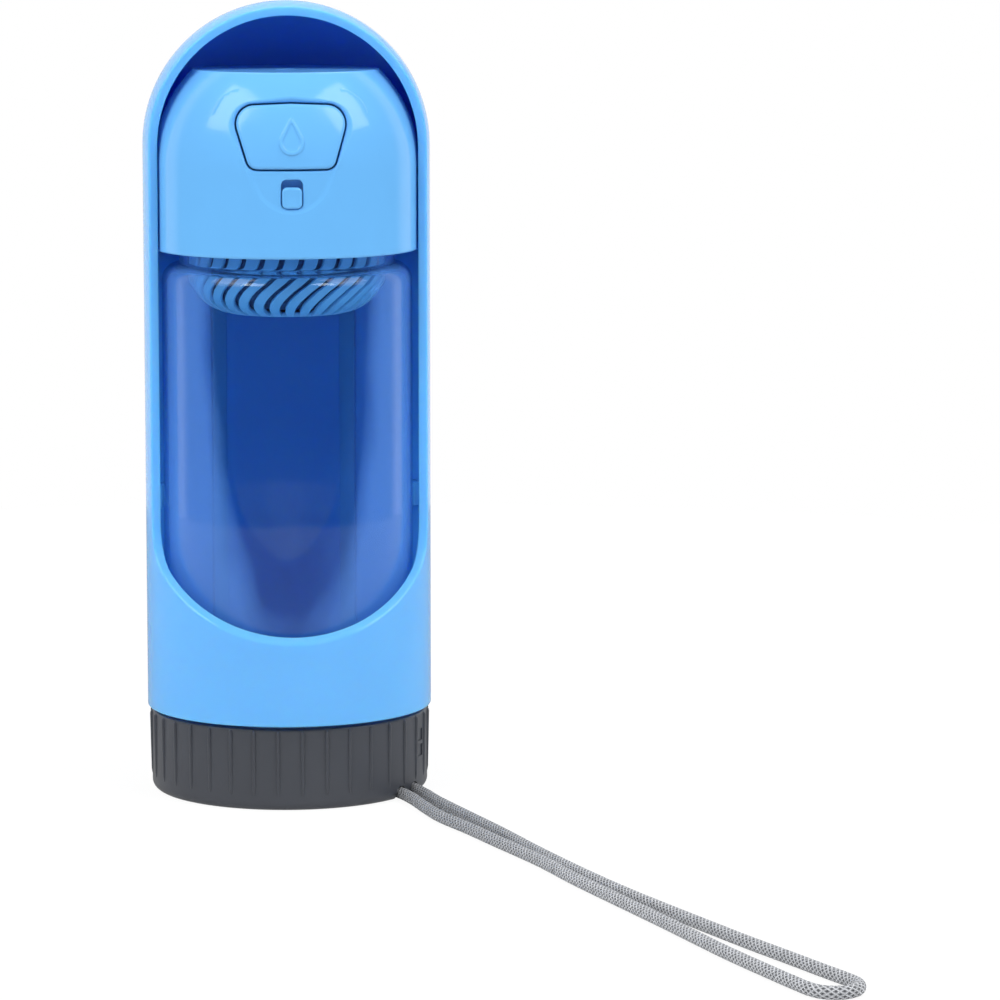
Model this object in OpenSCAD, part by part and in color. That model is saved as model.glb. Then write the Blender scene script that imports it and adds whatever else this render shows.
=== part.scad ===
// Travel water bottle for a dog. A clear bottle stands in a screwed base cap. Its head holds a
// carbon filter and a push valve, and a domed shell slides up over both to make the trough.
// The front is -Y, the floor is z = 0 and the bottle's axis is the Z axis. Millimetres.

/* [Trough shell] */
// Outside radius of the sliding shell
shell_r = 36.2; // [34:0.1:40]
// Wall of the shell
shell_wall = 2.2; // [1.6:0.1:2.6]
// Distance from the axis to the flat plane of the front opening
opening_y = 10; // [6:0.5:14]
// Height of the closed band below the sill, at the front
band_h = 20.9; // [16:0.5:26]
// Slope of the sill, in degrees from level
sill_slope = 36.9; // [30:0.5:44]
// Radius that joins the sill to the upright edges
sill_blend_r = 15; // [10:0.5:20]
// How far the shell slides up to make the trough
trough_travel = 60; // [40:1:64]
// Height of the shell's dome centre above the head's dome centre
dome_rise = 4.7; // [3:0.1:8]
// Gap between the shell's bottom edge and the base cap
shell_cap_gap = 0.8; // [0.5:0.1:2]
// Width of each guide rail inside the shell
rail_w = 4.5; // [3:0.5:6]
// How far each rail stands in from the wall
rail_h = 1.1; // [0.8:0.1:1.3]
// Angle of each rail from the back
rail_angle = 31; // [24:1:40]

/* [Base cap] */
// Height of the base cap
cap_h = 20.7; // [18:0.1:26]
// Step in from the shell's outside to the cap's outside
cap_step = 1; // [0.8:0.1:2]
// Wall of the cap around the bottle's end
cap_wall = 3.1; // [2.6:0.1:3.6]
// Floor of the cap under the gasket
cap_floor = 2.4; // [1.6:0.1:3.2]
// Depth of the recess under the cap
foot_depth = 5.2; // [4.8:0.1:7]
// Width of the foot ring that the bottle stands on
foot_ring_w = 8; // [6:0.5:8.5]
// Radius of the cap's bottom corner
cap_corner_r = 2.2; // [1:0.1:3]
// Number of grip ribs round the cap
grip_count = 36; // [18:1:48]
// Width of a grip rib
grip_w = 1; // [0.6:0.1:1.6]
// How far a grip rib stands out at its top
grip_out = 0.6; // [0.4:0.1:0.8]
// Height at which the grip ribs start
grip_z = 3.8; // [3:0.1:6]

/* [Wrist cord] */
// Diameter of the braided cord
cord_d = 3; // [2:0.1:3]
// Distance between the two cord holes in the lug
cord_pitch = 5.6; // [5:0.1:8.5]
// Thickness of the lug that holds the cord ends
lug_t = 5; // [4:0.5:6]
// Radius of the crimp on each cord end
crimp_r = 2.1; // [1.8:0.1:2.2]
// Length of each crimp
crimp_l = 3.2; // [2.5:0.1:3.4]

/* [Bottle] */
// Height of the bottle from its open end to the shoulder
bottle_h = 125.3; // [110:0.1:135]
// Step in from the head's outside to the bottle's outside
bottle_step = 1.8; // [1.6:0.1:2.6]
// Wall of the bottle
bottle_wall = 1.4; // [1.2:0.1:2.2]
// Radius of the shoulder's corner
shoulder_r = 2.5; // [1.5:0.1:4]
// Step in from the bottle's outside to the neck's outside
neck_step = 4.5; // [4.2:0.1:5.5]
// Wall of the neck
neck_wall = 2; // [1.4:0.1:2.2]
// Height of the neck above the shoulder
neck_h = 8.9; // [8:0.1:11]
// Thickness of the gasket under the bottle's open end
base_gasket_h = 1.6; // [1:0.1:2.4]

/* [Filter] */
// Depth of the filter basket below the neck's top
basket_depth = 21.5; // [18:0.5:30]
// Wall of the basket
basket_wall = 1.2; // [0.8:0.1:1.5]
// Radius of the basket's bottom corner
basket_corner_r = 11; // [7:0.5:12]
// Thickness of the basket's flange on the neck
flange_t = 1; // [0.8:0.1:1.4]
// Number of swirl slots in the basket
slot_count = 32; // [16:1:36]
// Width of a swirl slot
slot_w = 1.4; // [0.8:0.1:1.5]
// Lean of the swirl slots from upright, in degrees
slot_lean = 22; // [10:1:26]
// Thickness of the filter pad under the lid
pad_t = 1.8; // [1.2:0.1:2.4]
// Thickness of the basket's lid
lid_t = 1.4; // [1:0.1:1.6]

/* [Head] */
// Gap between the head and the inside of the shell
head_gap = 0.5; // [0.4:0.05:0.8]
// Gap between the shoulder and the head's bottom edge
head_gap_z = 3.3; // [3:0.1:5]
// Height of the head's straight wall
head_cyl_h = 21.6; // [20.5:0.1:24]
// Height of the head's flat top above its dome centre
head_flat_h = 23.8; // [22.5:0.1:25]
// Wall of the head
head_wall = 2.4; // [2:0.1:2.6]
// Thickness of the deck that closes the neck
deck_t = 2; // [1.4:0.1:2.2]
// Thickness of the gasket between neck and deck
neck_gasket_h = 1.2; // [0.8:0.1:1.4]
// Depth of the shallow recess round the button, at its top
recess_depth = 0.7; // [0.4:0.05:0.9]

/* [Button and lock] */
// Half the width of the button at its widest
button_half_w = 13.4; // [12:0.1:14]
// Height of the button
button_h = 15.85; // [15:0.1:16.5]
// Gap round the button
button_gap = 0.4; // [0.3:0.05:0.6]
// Wall of the button
button_wall = 1.5; // [1.1:0.1:1.8]
// How far the button presses in
button_travel = 3; // [2:0.1:3.2]
// Width of the lock knob
knob_w = 4.95; // [4:0.05:5.5]
// Height of the lock knob
knob_h = 5.2; // [4.5:0.1:5.5]
// How far the lock slides up
lock_travel = 1.8; // [1.2:0.1:2]
// Width of the lock's back plate
plate_w = 8.8; // [7.5:0.1:9.5]

/* [Valve] */
// Height of the valve's axis above the head's dome centre
valve_up = 8.5; // [8:0.1:9]
// Outside radius of the valve's barrel
barrel_r = 7.5; // [7:0.1:8]
// Radius of the valve's chambers
chamber_r = 5; // [4.6:0.1:5.4]
// Radius of the water ways
duct_r = 3; // [2:0.1:3.2]
// Radius of the stem
stem_r = 1.95; // [1.5:0.05:2.2]
// Thickness of the valve disc
disc_t = 2; // [1.4:0.1:2.4]
// Radius of the spring's wire
spring_wire_r = 0.35; // [0.25:0.05:0.45]
// Turns of the spring
spring_turns = 4; // [3:0.5:5]

/* [Hidden] */
$fn = 96;

// Clearances
seat_gap = 0.1;      // flat faces of pieces that lift apart
side_gap = 0.4;      // round the bottle's ends and the soft rings
run_gap = 0.05;      // stem in its gland and in its boss
rail_gap = 0.35;     // guide rail in the head's groove
over = 1;            // how far a cut runs past the face it opens

// Radii, from the shell inwards
shell_in_r = shell_r - shell_wall;
head_r = shell_in_r - head_gap;
head_in_r = head_r - head_wall;
bottle_r = head_r - bottle_step;
bottle_in_r = bottle_r - bottle_wall;
neck_r = bottle_r - neck_step;
neck_in_r = neck_r - neck_wall;
cap_r = shell_r - cap_step;
cap_in_r = cap_r - cap_wall;
foot_in_r = cap_r - foot_ring_w;
grip_phase = 0.28;   // turn of the first grip rib from the front, in ribs

// Heights, from the floor up
cap_floor_z = foot_depth + cap_floor;
gasket_z = cap_floor_z + seat_gap;
bottle_z = gasket_z + base_gasket_h;
shoulder_z = bottle_z + bottle_h;
neck_z = shoulder_z + neck_h;
deck_z = neck_z + flange_t + neck_gasket_h;
deck_top_z = deck_z + deck_t;
head_z = shoulder_z + head_gap_z;
head_dome_z = head_z + head_cyl_h;
head_top_z = head_dome_z + head_flat_h;
shell_z = cap_h + shell_cap_gap;
shell_dome_z = head_dome_z + dome_rise;

// Sill of the front opening: a flat slope, an arc, then the upright edges
sill_front_z = shell_z + band_h;
sill_arc_y = -(opening_y + sill_blend_r);
sill_end_y = sill_arc_y + sill_blend_r * sin(sill_slope);
sill_arc_z = sill_front_z + (shell_r + sill_end_y) * tan(sill_slope)
    + sill_blend_r * cos(sill_slope);
sill_steps = 10;

// Guide rails and stops of the shell
rail_foot_up = 8;
rail_top_down = 6;
rail_from_z = shell_z + rail_foot_up;
rail_to_z = shell_dome_z - rail_top_down;
stop_angle = 100;
stop_w = 6;
stop_h = 6;
stop_clear = 0.5;
stop_top_z = head_z - trough_travel - stop_clear;

// Soft seal round the back of the head
seal_up = 13;
seal_z = head_z + seal_up;
seal_h = 2;
seal_t = 1.7;
seal_r = shell_in_r - 0.3;
seal_back_angle = 198;
seal_end_gap = 1;

// Lug, holes and grooves for the cord, under the cap
cord_r = cord_d / 2;
cord_hole_r = cord_r + 0.2;
cord_heading = 24;
lug_x = 18;
lug_y = 5;
lug_z = 2.6;
lug_foot_gap = 0.3;
groove_r = cord_r + 0.25;
groove_l = 40;

// Basket
basket_r = neck_in_r - side_gap;
basket_in_r = basket_r - basket_wall;
basket_z = neck_z - basket_depth;
slot_top_down = 3;
slot_mid_up = 11;
slot_top_z = neck_z - slot_top_down;
slot_mid_z = basket_z + slot_mid_up;
slot_inner_r = 14.5;
lid_z = neck_z - 0.6 - lid_t;
pad_z = lid_z - pad_t;
core_gap = 0.5;

// Button, on the valve's axis
button_z = head_dome_z + 0.55;
button_top_z = button_z + button_h;
button_lip = 1.2;
button_lip_t = 1.4;
button_corner_r = 4.6;
button_foot_r = 2.5;
button_foot_half_w = button_half_w - 2.4;
button_side_down = 5;
button_side_z = button_top_z - button_side_down;
button_crown_r = 8;
moat_side_w = 1.6;
moat_crown_w = 1.5;
moat_drop = 0.6;
lip_reach_x = button_half_w - button_corner_r + 3.3 + button_lip;
lip_reach_z = button_h - 1.2 + button_lip;
lip_y = -sqrt(pow(head_in_r, 2) - pow(lip_reach_x, 2) - pow(lip_reach_z, 2)) + 0.3;
lip_back_y = lip_y + button_lip_t;
boss_r = 3.6;
boss_hole_l = 4;
rib_t = 1.2;

// Lock, under the button
slot_up = 12.4;
slot_z = head_z + slot_up;
knob_gap = 0.22;
knob_corner_r = 1.2;
knob_proud = 0.3;
knob_z = slot_z + seat_gap;
lock_slot_h = knob_h + lock_travel + 2 * seat_gap;
plate_t = 1.4;
plate_y = -sqrt(pow(head_in_r, 2) - pow(plate_w / 2, 2)) + 0.3;
plate_z = slot_z - 1.1;
plate_h = lock_slot_h + 1.1;
retainer_t = 1.2;
retainer_y = plate_y + plate_t + 0.3;
retainer_leg_w = 2;

// Recess round button and lock: the head's own surface, leaned back about its lower tip
recess_tip_up = 11.3;
recess_foot_r = 9.7;
recess_tip_z = head_z + recess_tip_up;
recess_min = 0.15;
recess_lean = atan((recess_depth - recess_min) / (button_top_z - recess_tip_z));

// Valve, along Y
valve_z = head_dome_z + valve_up;
barrel_y = lip_back_y + button_travel + 0.5;
gland_end_y = barrel_y + 6;
seat_y = 0;
seat_t = 2;
seat_hole_r = 3.2;
disc_y = seat_y + seat_t + seat_gap;
disc_r = chamber_r - 0.4;
disc_back_y = disc_y + disc_t;
stem_neck_r = 1;
stem_head_r = 1.7;
stem_head_t = 0.7;
plug_y = 10.5;
barrel_end_y = 13;
plug_flange_r = 6.8;
plug_flange_t = 1.2;
riser_y = 7;
outlet_y = -5;
riser_r = duct_r + 2;
block_foot_r = 9;
block_foot_t = 2;
oring_major_r = stem_r + 0.65;
oring_minor_r = 0.55;
oring_y = barrel_y + 3;
oring_groove_w = 1.3;
grommet_hole_r = duct_r + 1;
grommet_flange_r = duct_r + 2.6;
grommet_flange_t = 0.8;
spring_r = chamber_r - spring_wire_r - 1.1;
spring_steps = 14;
spring_sides = 6;

// Centre line of the cord, from one crimp round the loop to the other
CORD_ROUTE = [
    [19.52, 8.47, 2.6], [21.57, 3.86, 2.6], [24.22, -2.08, 2.1], [27.07, -8.48, 1.6],
    [30.32, -15.79, 1.6], [33.3, -24.9, 1.6], [35.9, -35, 1.6], [42, -54, 1.6],
    [48, -72.5, 1.6], [55, -96, 1.6], [62.5, -119, 1.6], [69.5, -138.5, 1.6],
    [76.5, -156, 1.6], [90.5, -189, 1.6], [97.6, -204.6, 1.6], [104.2, -219.2, 1.6],
    [107.8, -227, 1.6], [109.5, -231.9, 1.6], [108.7, -235.9, 1.6], [105.6, -238.5, 1.6],
    [101.6, -238.1, 1.6], [98.8, -235, 1.6], [96.5, -229.6, 1.6], [92.8, -220, 1.6],
    [86.5, -203, 1.6], [81.5, -188, 1.6], [75, -168, 1.6], [61.5, -128, 1.6],
    [54.5, -105, 1.6], [46.5, -83, 1.6], [40.4, -66.2, 1.6], [35, -52.5, 1.6],
    [32, -41, 1.6], [29.9, -31.3, 1.6], [27.64, -23.54, 1.6], [25.2, -18.06, 1.6],
    [21.95, -10.75, 1.6], [19.1, -4.36, 2.1], [16.46, 1.58, 2.6], [14.4, 6.19, 2.6]
];
CORD_STEP = 9;
CORD_SIDES = 8;

// ---- Helpers ----

// Points of the outline that a belt makes round circles [x, y, r], listed anticlockwise
function tangent_angle(a, b) = let (d = [b[0] - a[0], b[1] - a[1]])
    atan2(d[1], d[0]) - 90 + asin((a[2] - b[2]) / norm(d));
function turn_from(a, b) = b - 360 * floor((b - a + 0.001) / 360);
function belt(circles, steps = 6) = [
    for (i = [0:len(circles) - 1])
        let (
            n = len(circles), c = circles[i],
            a0 = tangent_angle(circles[(i + n - 1) % n], c),
            a1 = turn_from(a0, tangent_angle(c, circles[(i + 1) % n]))
        )
        for (s = [0:steps]) let (a = a0 + (a1 - a0) * s / steps)
            [c[0] + c[2] * cos(a), c[1] + c[2] * sin(a)]
];

// Half of a round wall with a dome on it, cut flat at top_z, for turning about the axis
module dome_half(r, from_z, dome_z, top_z) {
    intersection() {
        union() {
            translate([0, from_z]) square([r, dome_z - from_z]);
            translate([0, dome_z]) circle(r);
        }
        translate([0, from_z]) square([r + over, top_z - from_z]);
    }
}

// Half of a cup with a rounded bottom corner, for turning about the axis
module cup_half(r, from_z, top_z, corner) {
    intersection() {
        union() {
            translate([0, from_z]) square([r - corner, top_z - from_z]);
            translate([0, from_z + corner]) square([r, top_z - from_z - corner]);
            translate([r - corner, from_z + corner]) circle(corner);
        }
        translate([0, from_z]) square([r, top_z - from_z]);
    }
}

module ring(r, in_r, z, h) {
    rotate_extrude() translate([in_r, z]) square([r - in_r, h]);
}

// A solid along Y from y0 to y1: the outline's own x and y become X and Z
module along_y(y0, y1) {
    translate([0, y1, 0]) rotate([90, 0, 0]) linear_extrude(y1 - y0) children();
}

// A turned solid on the valve's axis: the outline's x is the radius, its y is Y
module turned_on_valve() {
    translate([0, 0, valve_z]) rotate([-90, 0, 0]) rotate_extrude() children();
}

module rod_y(r, y0, y1, z = valve_z) {
    translate([0, y0, z]) rotate([-90, 0, 0]) cylinder(r = r, h = y1 - y0);
}

module at_cord_lug() {
    translate([lug_x, lug_y, 0]) rotate([0, 0, cord_heading]) children();
}

// Outline of the button, grown or shrunk by d
module button_outline(d = 0) {
    top_x = button_half_w - button_corner_r;
    foot_x = button_foot_half_w - button_foot_r;
    polygon(belt([
        [-foot_x, button_z + button_foot_r, button_foot_r + d],
        [foot_x, button_z + button_foot_r, button_foot_r + d],
        [top_x, button_side_z, button_corner_r + d],
        [0, button_top_z - button_crown_r, button_crown_r + d],
        [-top_x, button_side_z, button_corner_r + d]
    ]));
}

// Outline of the shallow recess: wide over the button, with a round foot under the lock
module recess_outline() {
    top_x = button_half_w - button_corner_r;
    polygon(belt([
        [0, recess_tip_z + recess_foot_r, recess_foot_r],
        [top_x, button_side_z - moat_drop, button_corner_r + moat_side_w],
        [0, button_top_z - button_crown_r, button_crown_r + moat_crown_w],
        [-top_x, button_side_z - moat_drop, button_corner_r + moat_side_w]
    ]));
}

module round_box_outline(w, z0, h, r) {
    polygon(belt([
        [r - w / 2, z0 + r, r], [w / 2 - r, z0 + r, r],
        [w / 2 - r, z0 + h - r, r], [r - w / 2, z0 + h - r, r]
    ], 4));
}

// ---- Base ----

module grip_rib() {
    rib_z1 = cap_h - 0.4;
    rotate([90, 0, 0]) linear_extrude(grip_w, center = true) polygon([
        [cap_r - over, grip_z], [cap_r, grip_z], [cap_r + grip_out / 2, grip_z + 1],
        [cap_r + grip_out, rib_z1 - 0.4], [cap_r + grip_out - 0.3, rib_z1], [cap_r - over, rib_z1]
    ]);
}

module base_cap() color([0.27, 0.29, 0.32]) {
    difference() {
        union() {
            rotate_extrude() difference() {
                cup_half(cap_r, 0, cap_h, cap_corner_r);
                translate([0, cap_floor_z]) square([cap_in_r, cap_h]);
                translate([0, -over]) square([foot_in_r, foot_depth + over]);
            }
            for (i = [0:grip_count - 1])
                rotate([0, 0, (i + grip_phase) * 360 / grip_count - 90]) grip_rib();
            at_cord_lug() cord_lug();
        }
        at_cord_lug() {
            for (side = [-1, 1]) translate([side * cord_pitch / 2, 0, 0]) {
                rod_y(cord_hole_r, -lug_t, lug_t, lug_z);
                rod_y(groove_r, -groove_l - lug_t / 2, -lug_t / 2, groove_r);
                translate([-groove_r, -groove_l - lug_t / 2, -over]) cube([2 * groove_r, groove_l, groove_r + over]);
            }
        }
    }
}

module cord_lug() {
    w = cord_pitch + 2 * crimp_r + 0.4;
    translate([-w / 2, -lug_t / 2, lug_foot_gap]) cube([w, lug_t, foot_depth]);
}

module cord_crimps() color([0.45, 0.46, 0.48]) {
    at_cord_lug() for (side = [-1, 1]) translate([side * cord_pitch / 2, 0, 0])
        rod_y(crimp_r, lug_t / 2 + seat_gap, lug_t / 2 + crimp_l, lug_z);
}

// Smooth points between the route's own points, about CORD_STEP apart
function spline(p, i, t) = let (
        n = len(p), a = p[max(i - 1, 0)], b = p[i], c = p[i + 1], d = p[min(i + 2, n - 1)]
    ) 0.5 * (2 * b + (c - a) * t + (2 * a - 5 * b + 4 * c - d) * t * t
    + (3 * b - 3 * c + d - a) * t * t * t);
function cord_points(p) = [
    for (i = [0:len(p) - 2]) let (n = max(1, ceil(norm(p[i + 1] - p[i]) / CORD_STEP)))
        for (s = [0:n - 1]) spline(p, i, s / n),
    p[len(p) - 1]
];

// A tube of flat sides swept along points that never run upright
module swept_tube(p, r, sides) {
    n = len(p);
    rings = [for (i = [0:n - 1]) let (
            ahead = p[min(i + 1, n - 1)] - p[max(i - 1, 0)],
            side = cross(ahead, [0, 0, 1]) / norm(cross(ahead, [0, 0, 1])),
            up = cross(side, ahead) / norm(cross(side, ahead))
        ) for (k = [0:sides - 1]) let (a = k * 360 / sides)
            p[i] + r * (side * cos(a) + up * sin(a))];
    polyhedron(rings, concat(
        [[for (k = [0:sides - 1]) k]],
        [for (i = [0:n - 2], k = [0:sides - 1]) let (k1 = (k + 1) % sides)
            [i * sides + k, (i + 1) * sides + k, (i + 1) * sides + k1, i * sides + k1]],
        [[for (k = [sides - 1:-1:0]) (n - 1) * sides + k]]
    ));
}

module wrist_cord() color([0.62, 0.63, 0.65]) swept_tube(cord_points(CORD_ROUTE), cord_r, CORD_SIDES);

module base_gasket() color([0.85, 0.87, 0.88])
    ring(cap_in_r - side_gap, bottle_in_r - 0.2, gasket_z, base_gasket_h - seat_gap);

// ---- Bottle and filter ----

module bottle_body() color([0.80, 0.90, 0.96, 0.4]) {
    rotate_extrude() {
        difference() {
            union() {
                translate([0, bottle_z]) square([bottle_r, bottle_h - shoulder_r]);
                translate([0, bottle_z]) square([bottle_r - shoulder_r, bottle_h]);
                translate([bottle_r - shoulder_r, shoulder_z - shoulder_r]) circle(shoulder_r);
                translate([0, bottle_z]) square([neck_r, neck_z - bottle_z]);
            }
            translate([0, bottle_z - over]) square([bottle_in_r, bottle_h - neck_wall + over]);
            translate([0, bottle_z]) square([neck_in_r, neck_z]);
        }
    }
}

module basket_slots() {
    intersection() {
        for (i = [0:slot_count - 1])
            rotate([0, 0, i * 360 / slot_count]) translate([0, -basket_r - over, slot_mid_z])
                rotate([0, slot_lean, 0]) translate([-slot_w / 2, 0, -basket_depth])
                    cube([slot_w, basket_r + over - slot_inner_r, 2 * basket_depth]);
        translate([0, 0, basket_z - over]) cylinder(r = shell_r, h = slot_top_z - basket_z + over);
    }
}

module filter_basket() color([0.30, 0.55, 0.85]) {
    difference() {
        rotate_extrude() {
            difference() {
                cup_half(basket_r, basket_z, neck_z + flange_t, basket_corner_r);
                cup_half(basket_in_r, basket_z + basket_wall, neck_z + flange_t + over,
                    basket_corner_r - basket_wall);
            }
            translate([basket_in_r, neck_z]) square([neck_r - basket_in_r, flange_t]);
        }
        basket_slots();
    }
}

module filter_core() color([0.12, 0.13, 0.15]) rotate_extrude()
    cup_half(basket_in_r - core_gap, basket_z + basket_wall + core_gap, pad_z,
        basket_corner_r - basket_wall);

module filter_pad() color([0.92, 0.92, 0.90])
    translate([0, 0, pad_z]) cylinder(r = basket_in_r - core_gap, h = pad_t);

module basket_lid() color([0.30, 0.55, 0.85]) {
    hole_rows = [[8, 6], [14, 12], [19.5, 18]];
    difference() {
        translate([0, 0, lid_z]) cylinder(r = basket_in_r - 0.2, h = lid_t);
        for (row = hole_rows, i = [0:row[1] - 1])
            rotate([0, 0, i * 360 / row[1]]) translate([row[0], 0, lid_z - over])
                cylinder(r = 1.6, h = lid_t + 2 * over, $fn = 24);
    }
}

module neck_gasket() color([0.85, 0.87, 0.88])
    ring(neck_r, basket_in_r, neck_z + flange_t, neck_gasket_h);

// ---- Head ----

module neck_collar() color([0.30, 0.55, 0.85]) {
    difference() {
        rotate_extrude() {
            translate([0, deck_z]) square([head_in_r - 0.1, deck_t]);
            translate([neck_r + 0.3, head_z + 0.5]) square([head_in_r - neck_r - 0.4, deck_z - head_z]);
        }
        translate([0, riser_y, deck_z - over]) cylinder(r = duct_r, h = deck_t + 2 * over);
    }
}

module leaned_head() {
    translate([0, recess_min - head_r, recess_tip_z]) rotate([-recess_lean, 0, 0])
        translate([0, head_r, -recess_tip_z])
            rotate_extrude()
                dome_half(head_r, head_z - head_cyl_h, head_dome_z, head_dome_z + head_r + over);
}

module rail_groove(side) {
    groove_w = rail_w + 2 * rail_gap;
    rotate([0, 0, side * rail_angle])
        translate([-groove_w / 2, shell_in_r - rail_h - rail_gap, head_z - over])
            cube([groove_w, rail_h + rail_gap + over, head_flat_h + head_cyl_h]);
}

module head_housing() color([0.36, 0.66, 0.94]) {
    difference() {
        rotate_extrude() difference() {
            dome_half(head_r, head_z, head_dome_z, head_top_z);
            dome_half(head_in_r, head_z - over, head_dome_z, head_top_z - head_wall);
        }
        difference() {
            along_y(-head_r - over, -head_r / 2) recess_outline();
            leaned_head();
        }
        along_y(-head_r - over, -head_r / 2) button_outline(button_gap);
        along_y(-head_r - over, -head_r / 2)
            round_box_outline(knob_w + 2 * knob_gap, slot_z, lock_slot_h, knob_corner_r + 0.2);
        for (side = [-1, 1]) rail_groove(side);
        rotate([0, 0, 90 - seal_back_angle / 2 - seal_end_gap])
            rotate_extrude(angle = seal_back_angle + 2 * seal_end_gap)
                translate([seal_r - seal_t - 0.1, seal_z - 0.2]) square([2 * seal_t, seal_h + 0.4]);
        translate([0, outlet_y, head_top_z - head_wall - over])
            cylinder(r = grommet_hole_r, h = head_wall + 2 * over);
        translate([0, outlet_y, head_top_z - grommet_flange_t])
            cylinder(r = grommet_flange_r + run_gap, h = grommet_flange_t + over);
    }
}

module trough_seal() color([0.85, 0.87, 0.88]) {
    difference() {
        rotate([0, 0, 90 - seal_back_angle / 2]) rotate_extrude(angle = seal_back_angle)
            translate([seal_r - seal_t, seal_z]) square([seal_t, seal_h]);
        for (side = [-1, 1]) rail_groove(side);
    }
}

module valve_block() color([0.88, 0.90, 0.92]) {
    roof_z = head_top_z - head_wall;
    difference() {
        union() {
            rod_y(barrel_r, barrel_y, barrel_end_y);
            translate([0, riser_y, deck_top_z]) cylinder(r = riser_r, h = valve_z - deck_top_z);
            translate([0, riser_y, deck_top_z]) cylinder(r = block_foot_r, h = block_foot_t);
            translate([0, outlet_y, valve_z]) cylinder(r = riser_r + 0.6, h = roof_z - valve_z);
        }
        turned_on_valve() {
            translate([0, barrel_y - over]) square([stem_r + run_gap, seat_y - barrel_y + over]);
            translate([0, oring_y - oring_groove_w / 2])
                square([oring_major_r + oring_minor_r + 0.1, oring_groove_w]);
            translate([0, gland_end_y]) square([chamber_r, seat_y - gland_end_y]);
            translate([0, seat_y - over]) square([seat_hole_r, seat_t + 2 * over]);
            translate([0, seat_y + seat_t]) square([chamber_r, barrel_end_y]);
        }
        translate([0, riser_y, deck_top_z - over]) cylinder(r = duct_r, h = valve_z - deck_top_z + over);
        translate([0, outlet_y, valve_z]) cylinder(r = duct_r, h = roof_z - valve_z + over);
    }
}

module stem_oring() color([0.15, 0.15, 0.16])
    turned_on_valve() translate([oring_major_r, oring_y]) circle(oring_minor_r, $fn = 24);

module rear_plug() color([0.88, 0.90, 0.92]) turned_on_valve() {
    translate([0, plug_y]) square([chamber_r - run_gap, barrel_end_y - plug_y + plug_flange_t]);
    translate([0, barrel_end_y]) square([plug_flange_r, plug_flange_t]);
}

module spout_grommet() color([0.36, 0.66, 0.94]) translate([0, outlet_y, 0]) rotate_extrude() {
    translate([duct_r, head_top_z - head_wall]) square([grommet_hole_r - run_gap - duct_r, head_wall]);
    translate([duct_r, head_top_z - grommet_flange_t]) square([grommet_flange_r - duct_r, grommet_flange_t]);
}

// A coil of wire between the disc and the plug, on the valve's axis
module return_spring() color([0.75, 0.76, 0.78]) {
    from_y = disc_back_y + spring_wire_r + seat_gap;
    to_y = plug_y - spring_wire_r - seat_gap;
    steps = spring_turns * spring_steps;
    coil = [for (i = [0:steps]) let (a = i * 360 / spring_steps)
        [spring_r * cos(a), from_y + (to_y - from_y) * i / steps, valve_z + spring_r * sin(a)]];
    rings = [for (i = [0:steps], k = [0:spring_sides - 1]) let (
            a = i * 360 / spring_steps, b = k * 360 / spring_sides, out = [cos(a), 0, sin(a)]
        ) coil[i] + spring_wire_r * (out * cos(b) + [0, 1, 0] * sin(b))];
    polyhedron(rings, concat(
        [[for (k = [spring_sides - 1:-1:0]) k]],
        [for (i = [0:steps - 1], k = [0:spring_sides - 1]) let (k1 = (k + 1) % spring_sides)
            [i * spring_sides + k, i * spring_sides + k1,
                (i + 1) * spring_sides + k1, (i + 1) * spring_sides + k]],
        [[for (k = [0:spring_sides - 1]) steps * spring_sides + k]]
    ));
}

// ---- Button, lock and trough ----

// The hollows behind the button's face, between its cross ribs and its boss
module button_pockets() {
    difference() {
        button_outline(-button_wall);
        translate([-button_half_w, valve_z - rib_t / 2]) square([2 * button_half_w, rib_t]);
        translate([-rib_t / 2, button_z]) square([rib_t, button_h]);
        translate([0, valve_z]) circle(boss_r);
    }
}

module button_cap() color([0.36, 0.66, 0.94]) {
    difference() {
        union() {
            intersection() {
                along_y(-head_r - over, lip_back_y) button_outline();
                translate([0, 0, head_dome_z]) sphere(head_r);
            }
            along_y(lip_y, lip_back_y) button_outline(button_lip);
        }
        intersection() {
            along_y(-head_r - over, lip_back_y + over) button_pockets();
            translate([0, 0, head_dome_z]) sphere(head_r - button_wall);
        }
        rod_y(stem_r + run_gap, lip_back_y - boss_hole_l, lip_back_y + over);
    }
}

module valve_stem() color([0.88, 0.90, 0.92]) turned_on_valve() {
    from_y = lip_back_y - boss_hole_l + seat_gap;
    translate([0, from_y]) square([stem_r, disc_y - from_y]);
    translate([0, from_y]) square([stem_neck_r, disc_back_y - from_y]);
    translate([0, disc_back_y]) square([stem_head_r, stem_head_t]);
}

module valve_disc() color([0.15, 0.15, 0.16]) turned_on_valve()
    translate([stem_neck_r + run_gap, disc_y]) square([disc_r - stem_neck_r - run_gap, disc_t]);

module lock_knob() color([0.36, 0.66, 0.94]) {
    intersection() {
        along_y(-head_r - over, plate_y) round_box_outline(knob_w, knob_z, knob_h, knob_corner_r);
        cylinder(r = head_r + knob_proud, h = head_top_z);
    }
}

module lock_plate() color([0.30, 0.55, 0.85])
    translate([-plate_w / 2, plate_y, plate_z]) cube([plate_w, plate_t, plate_h]);

// A bridge over the back of the lock plate, with a leg on each side against the wall
module lock_retainer() color([0.88, 0.90, 0.92]) {
    leg_x = plate_w / 2 + 0.3;
    leg_wall_y = -sqrt(pow(head_in_r, 2) - pow(leg_x + retainer_leg_w, 2)) + 0.1;
    bridge_w = 2 * (leg_x + retainer_leg_w);
    translate([-bridge_w / 2, retainer_y, plate_z + 1]) cube([bridge_w, retainer_t, 4]);
    for (x = [-leg_x - retainer_leg_w, leg_x])
        translate([x, leg_wall_y, plate_z + 1])
            cube([retainer_leg_w, retainer_y + retainer_t - leg_wall_y, 4]);
}

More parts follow.
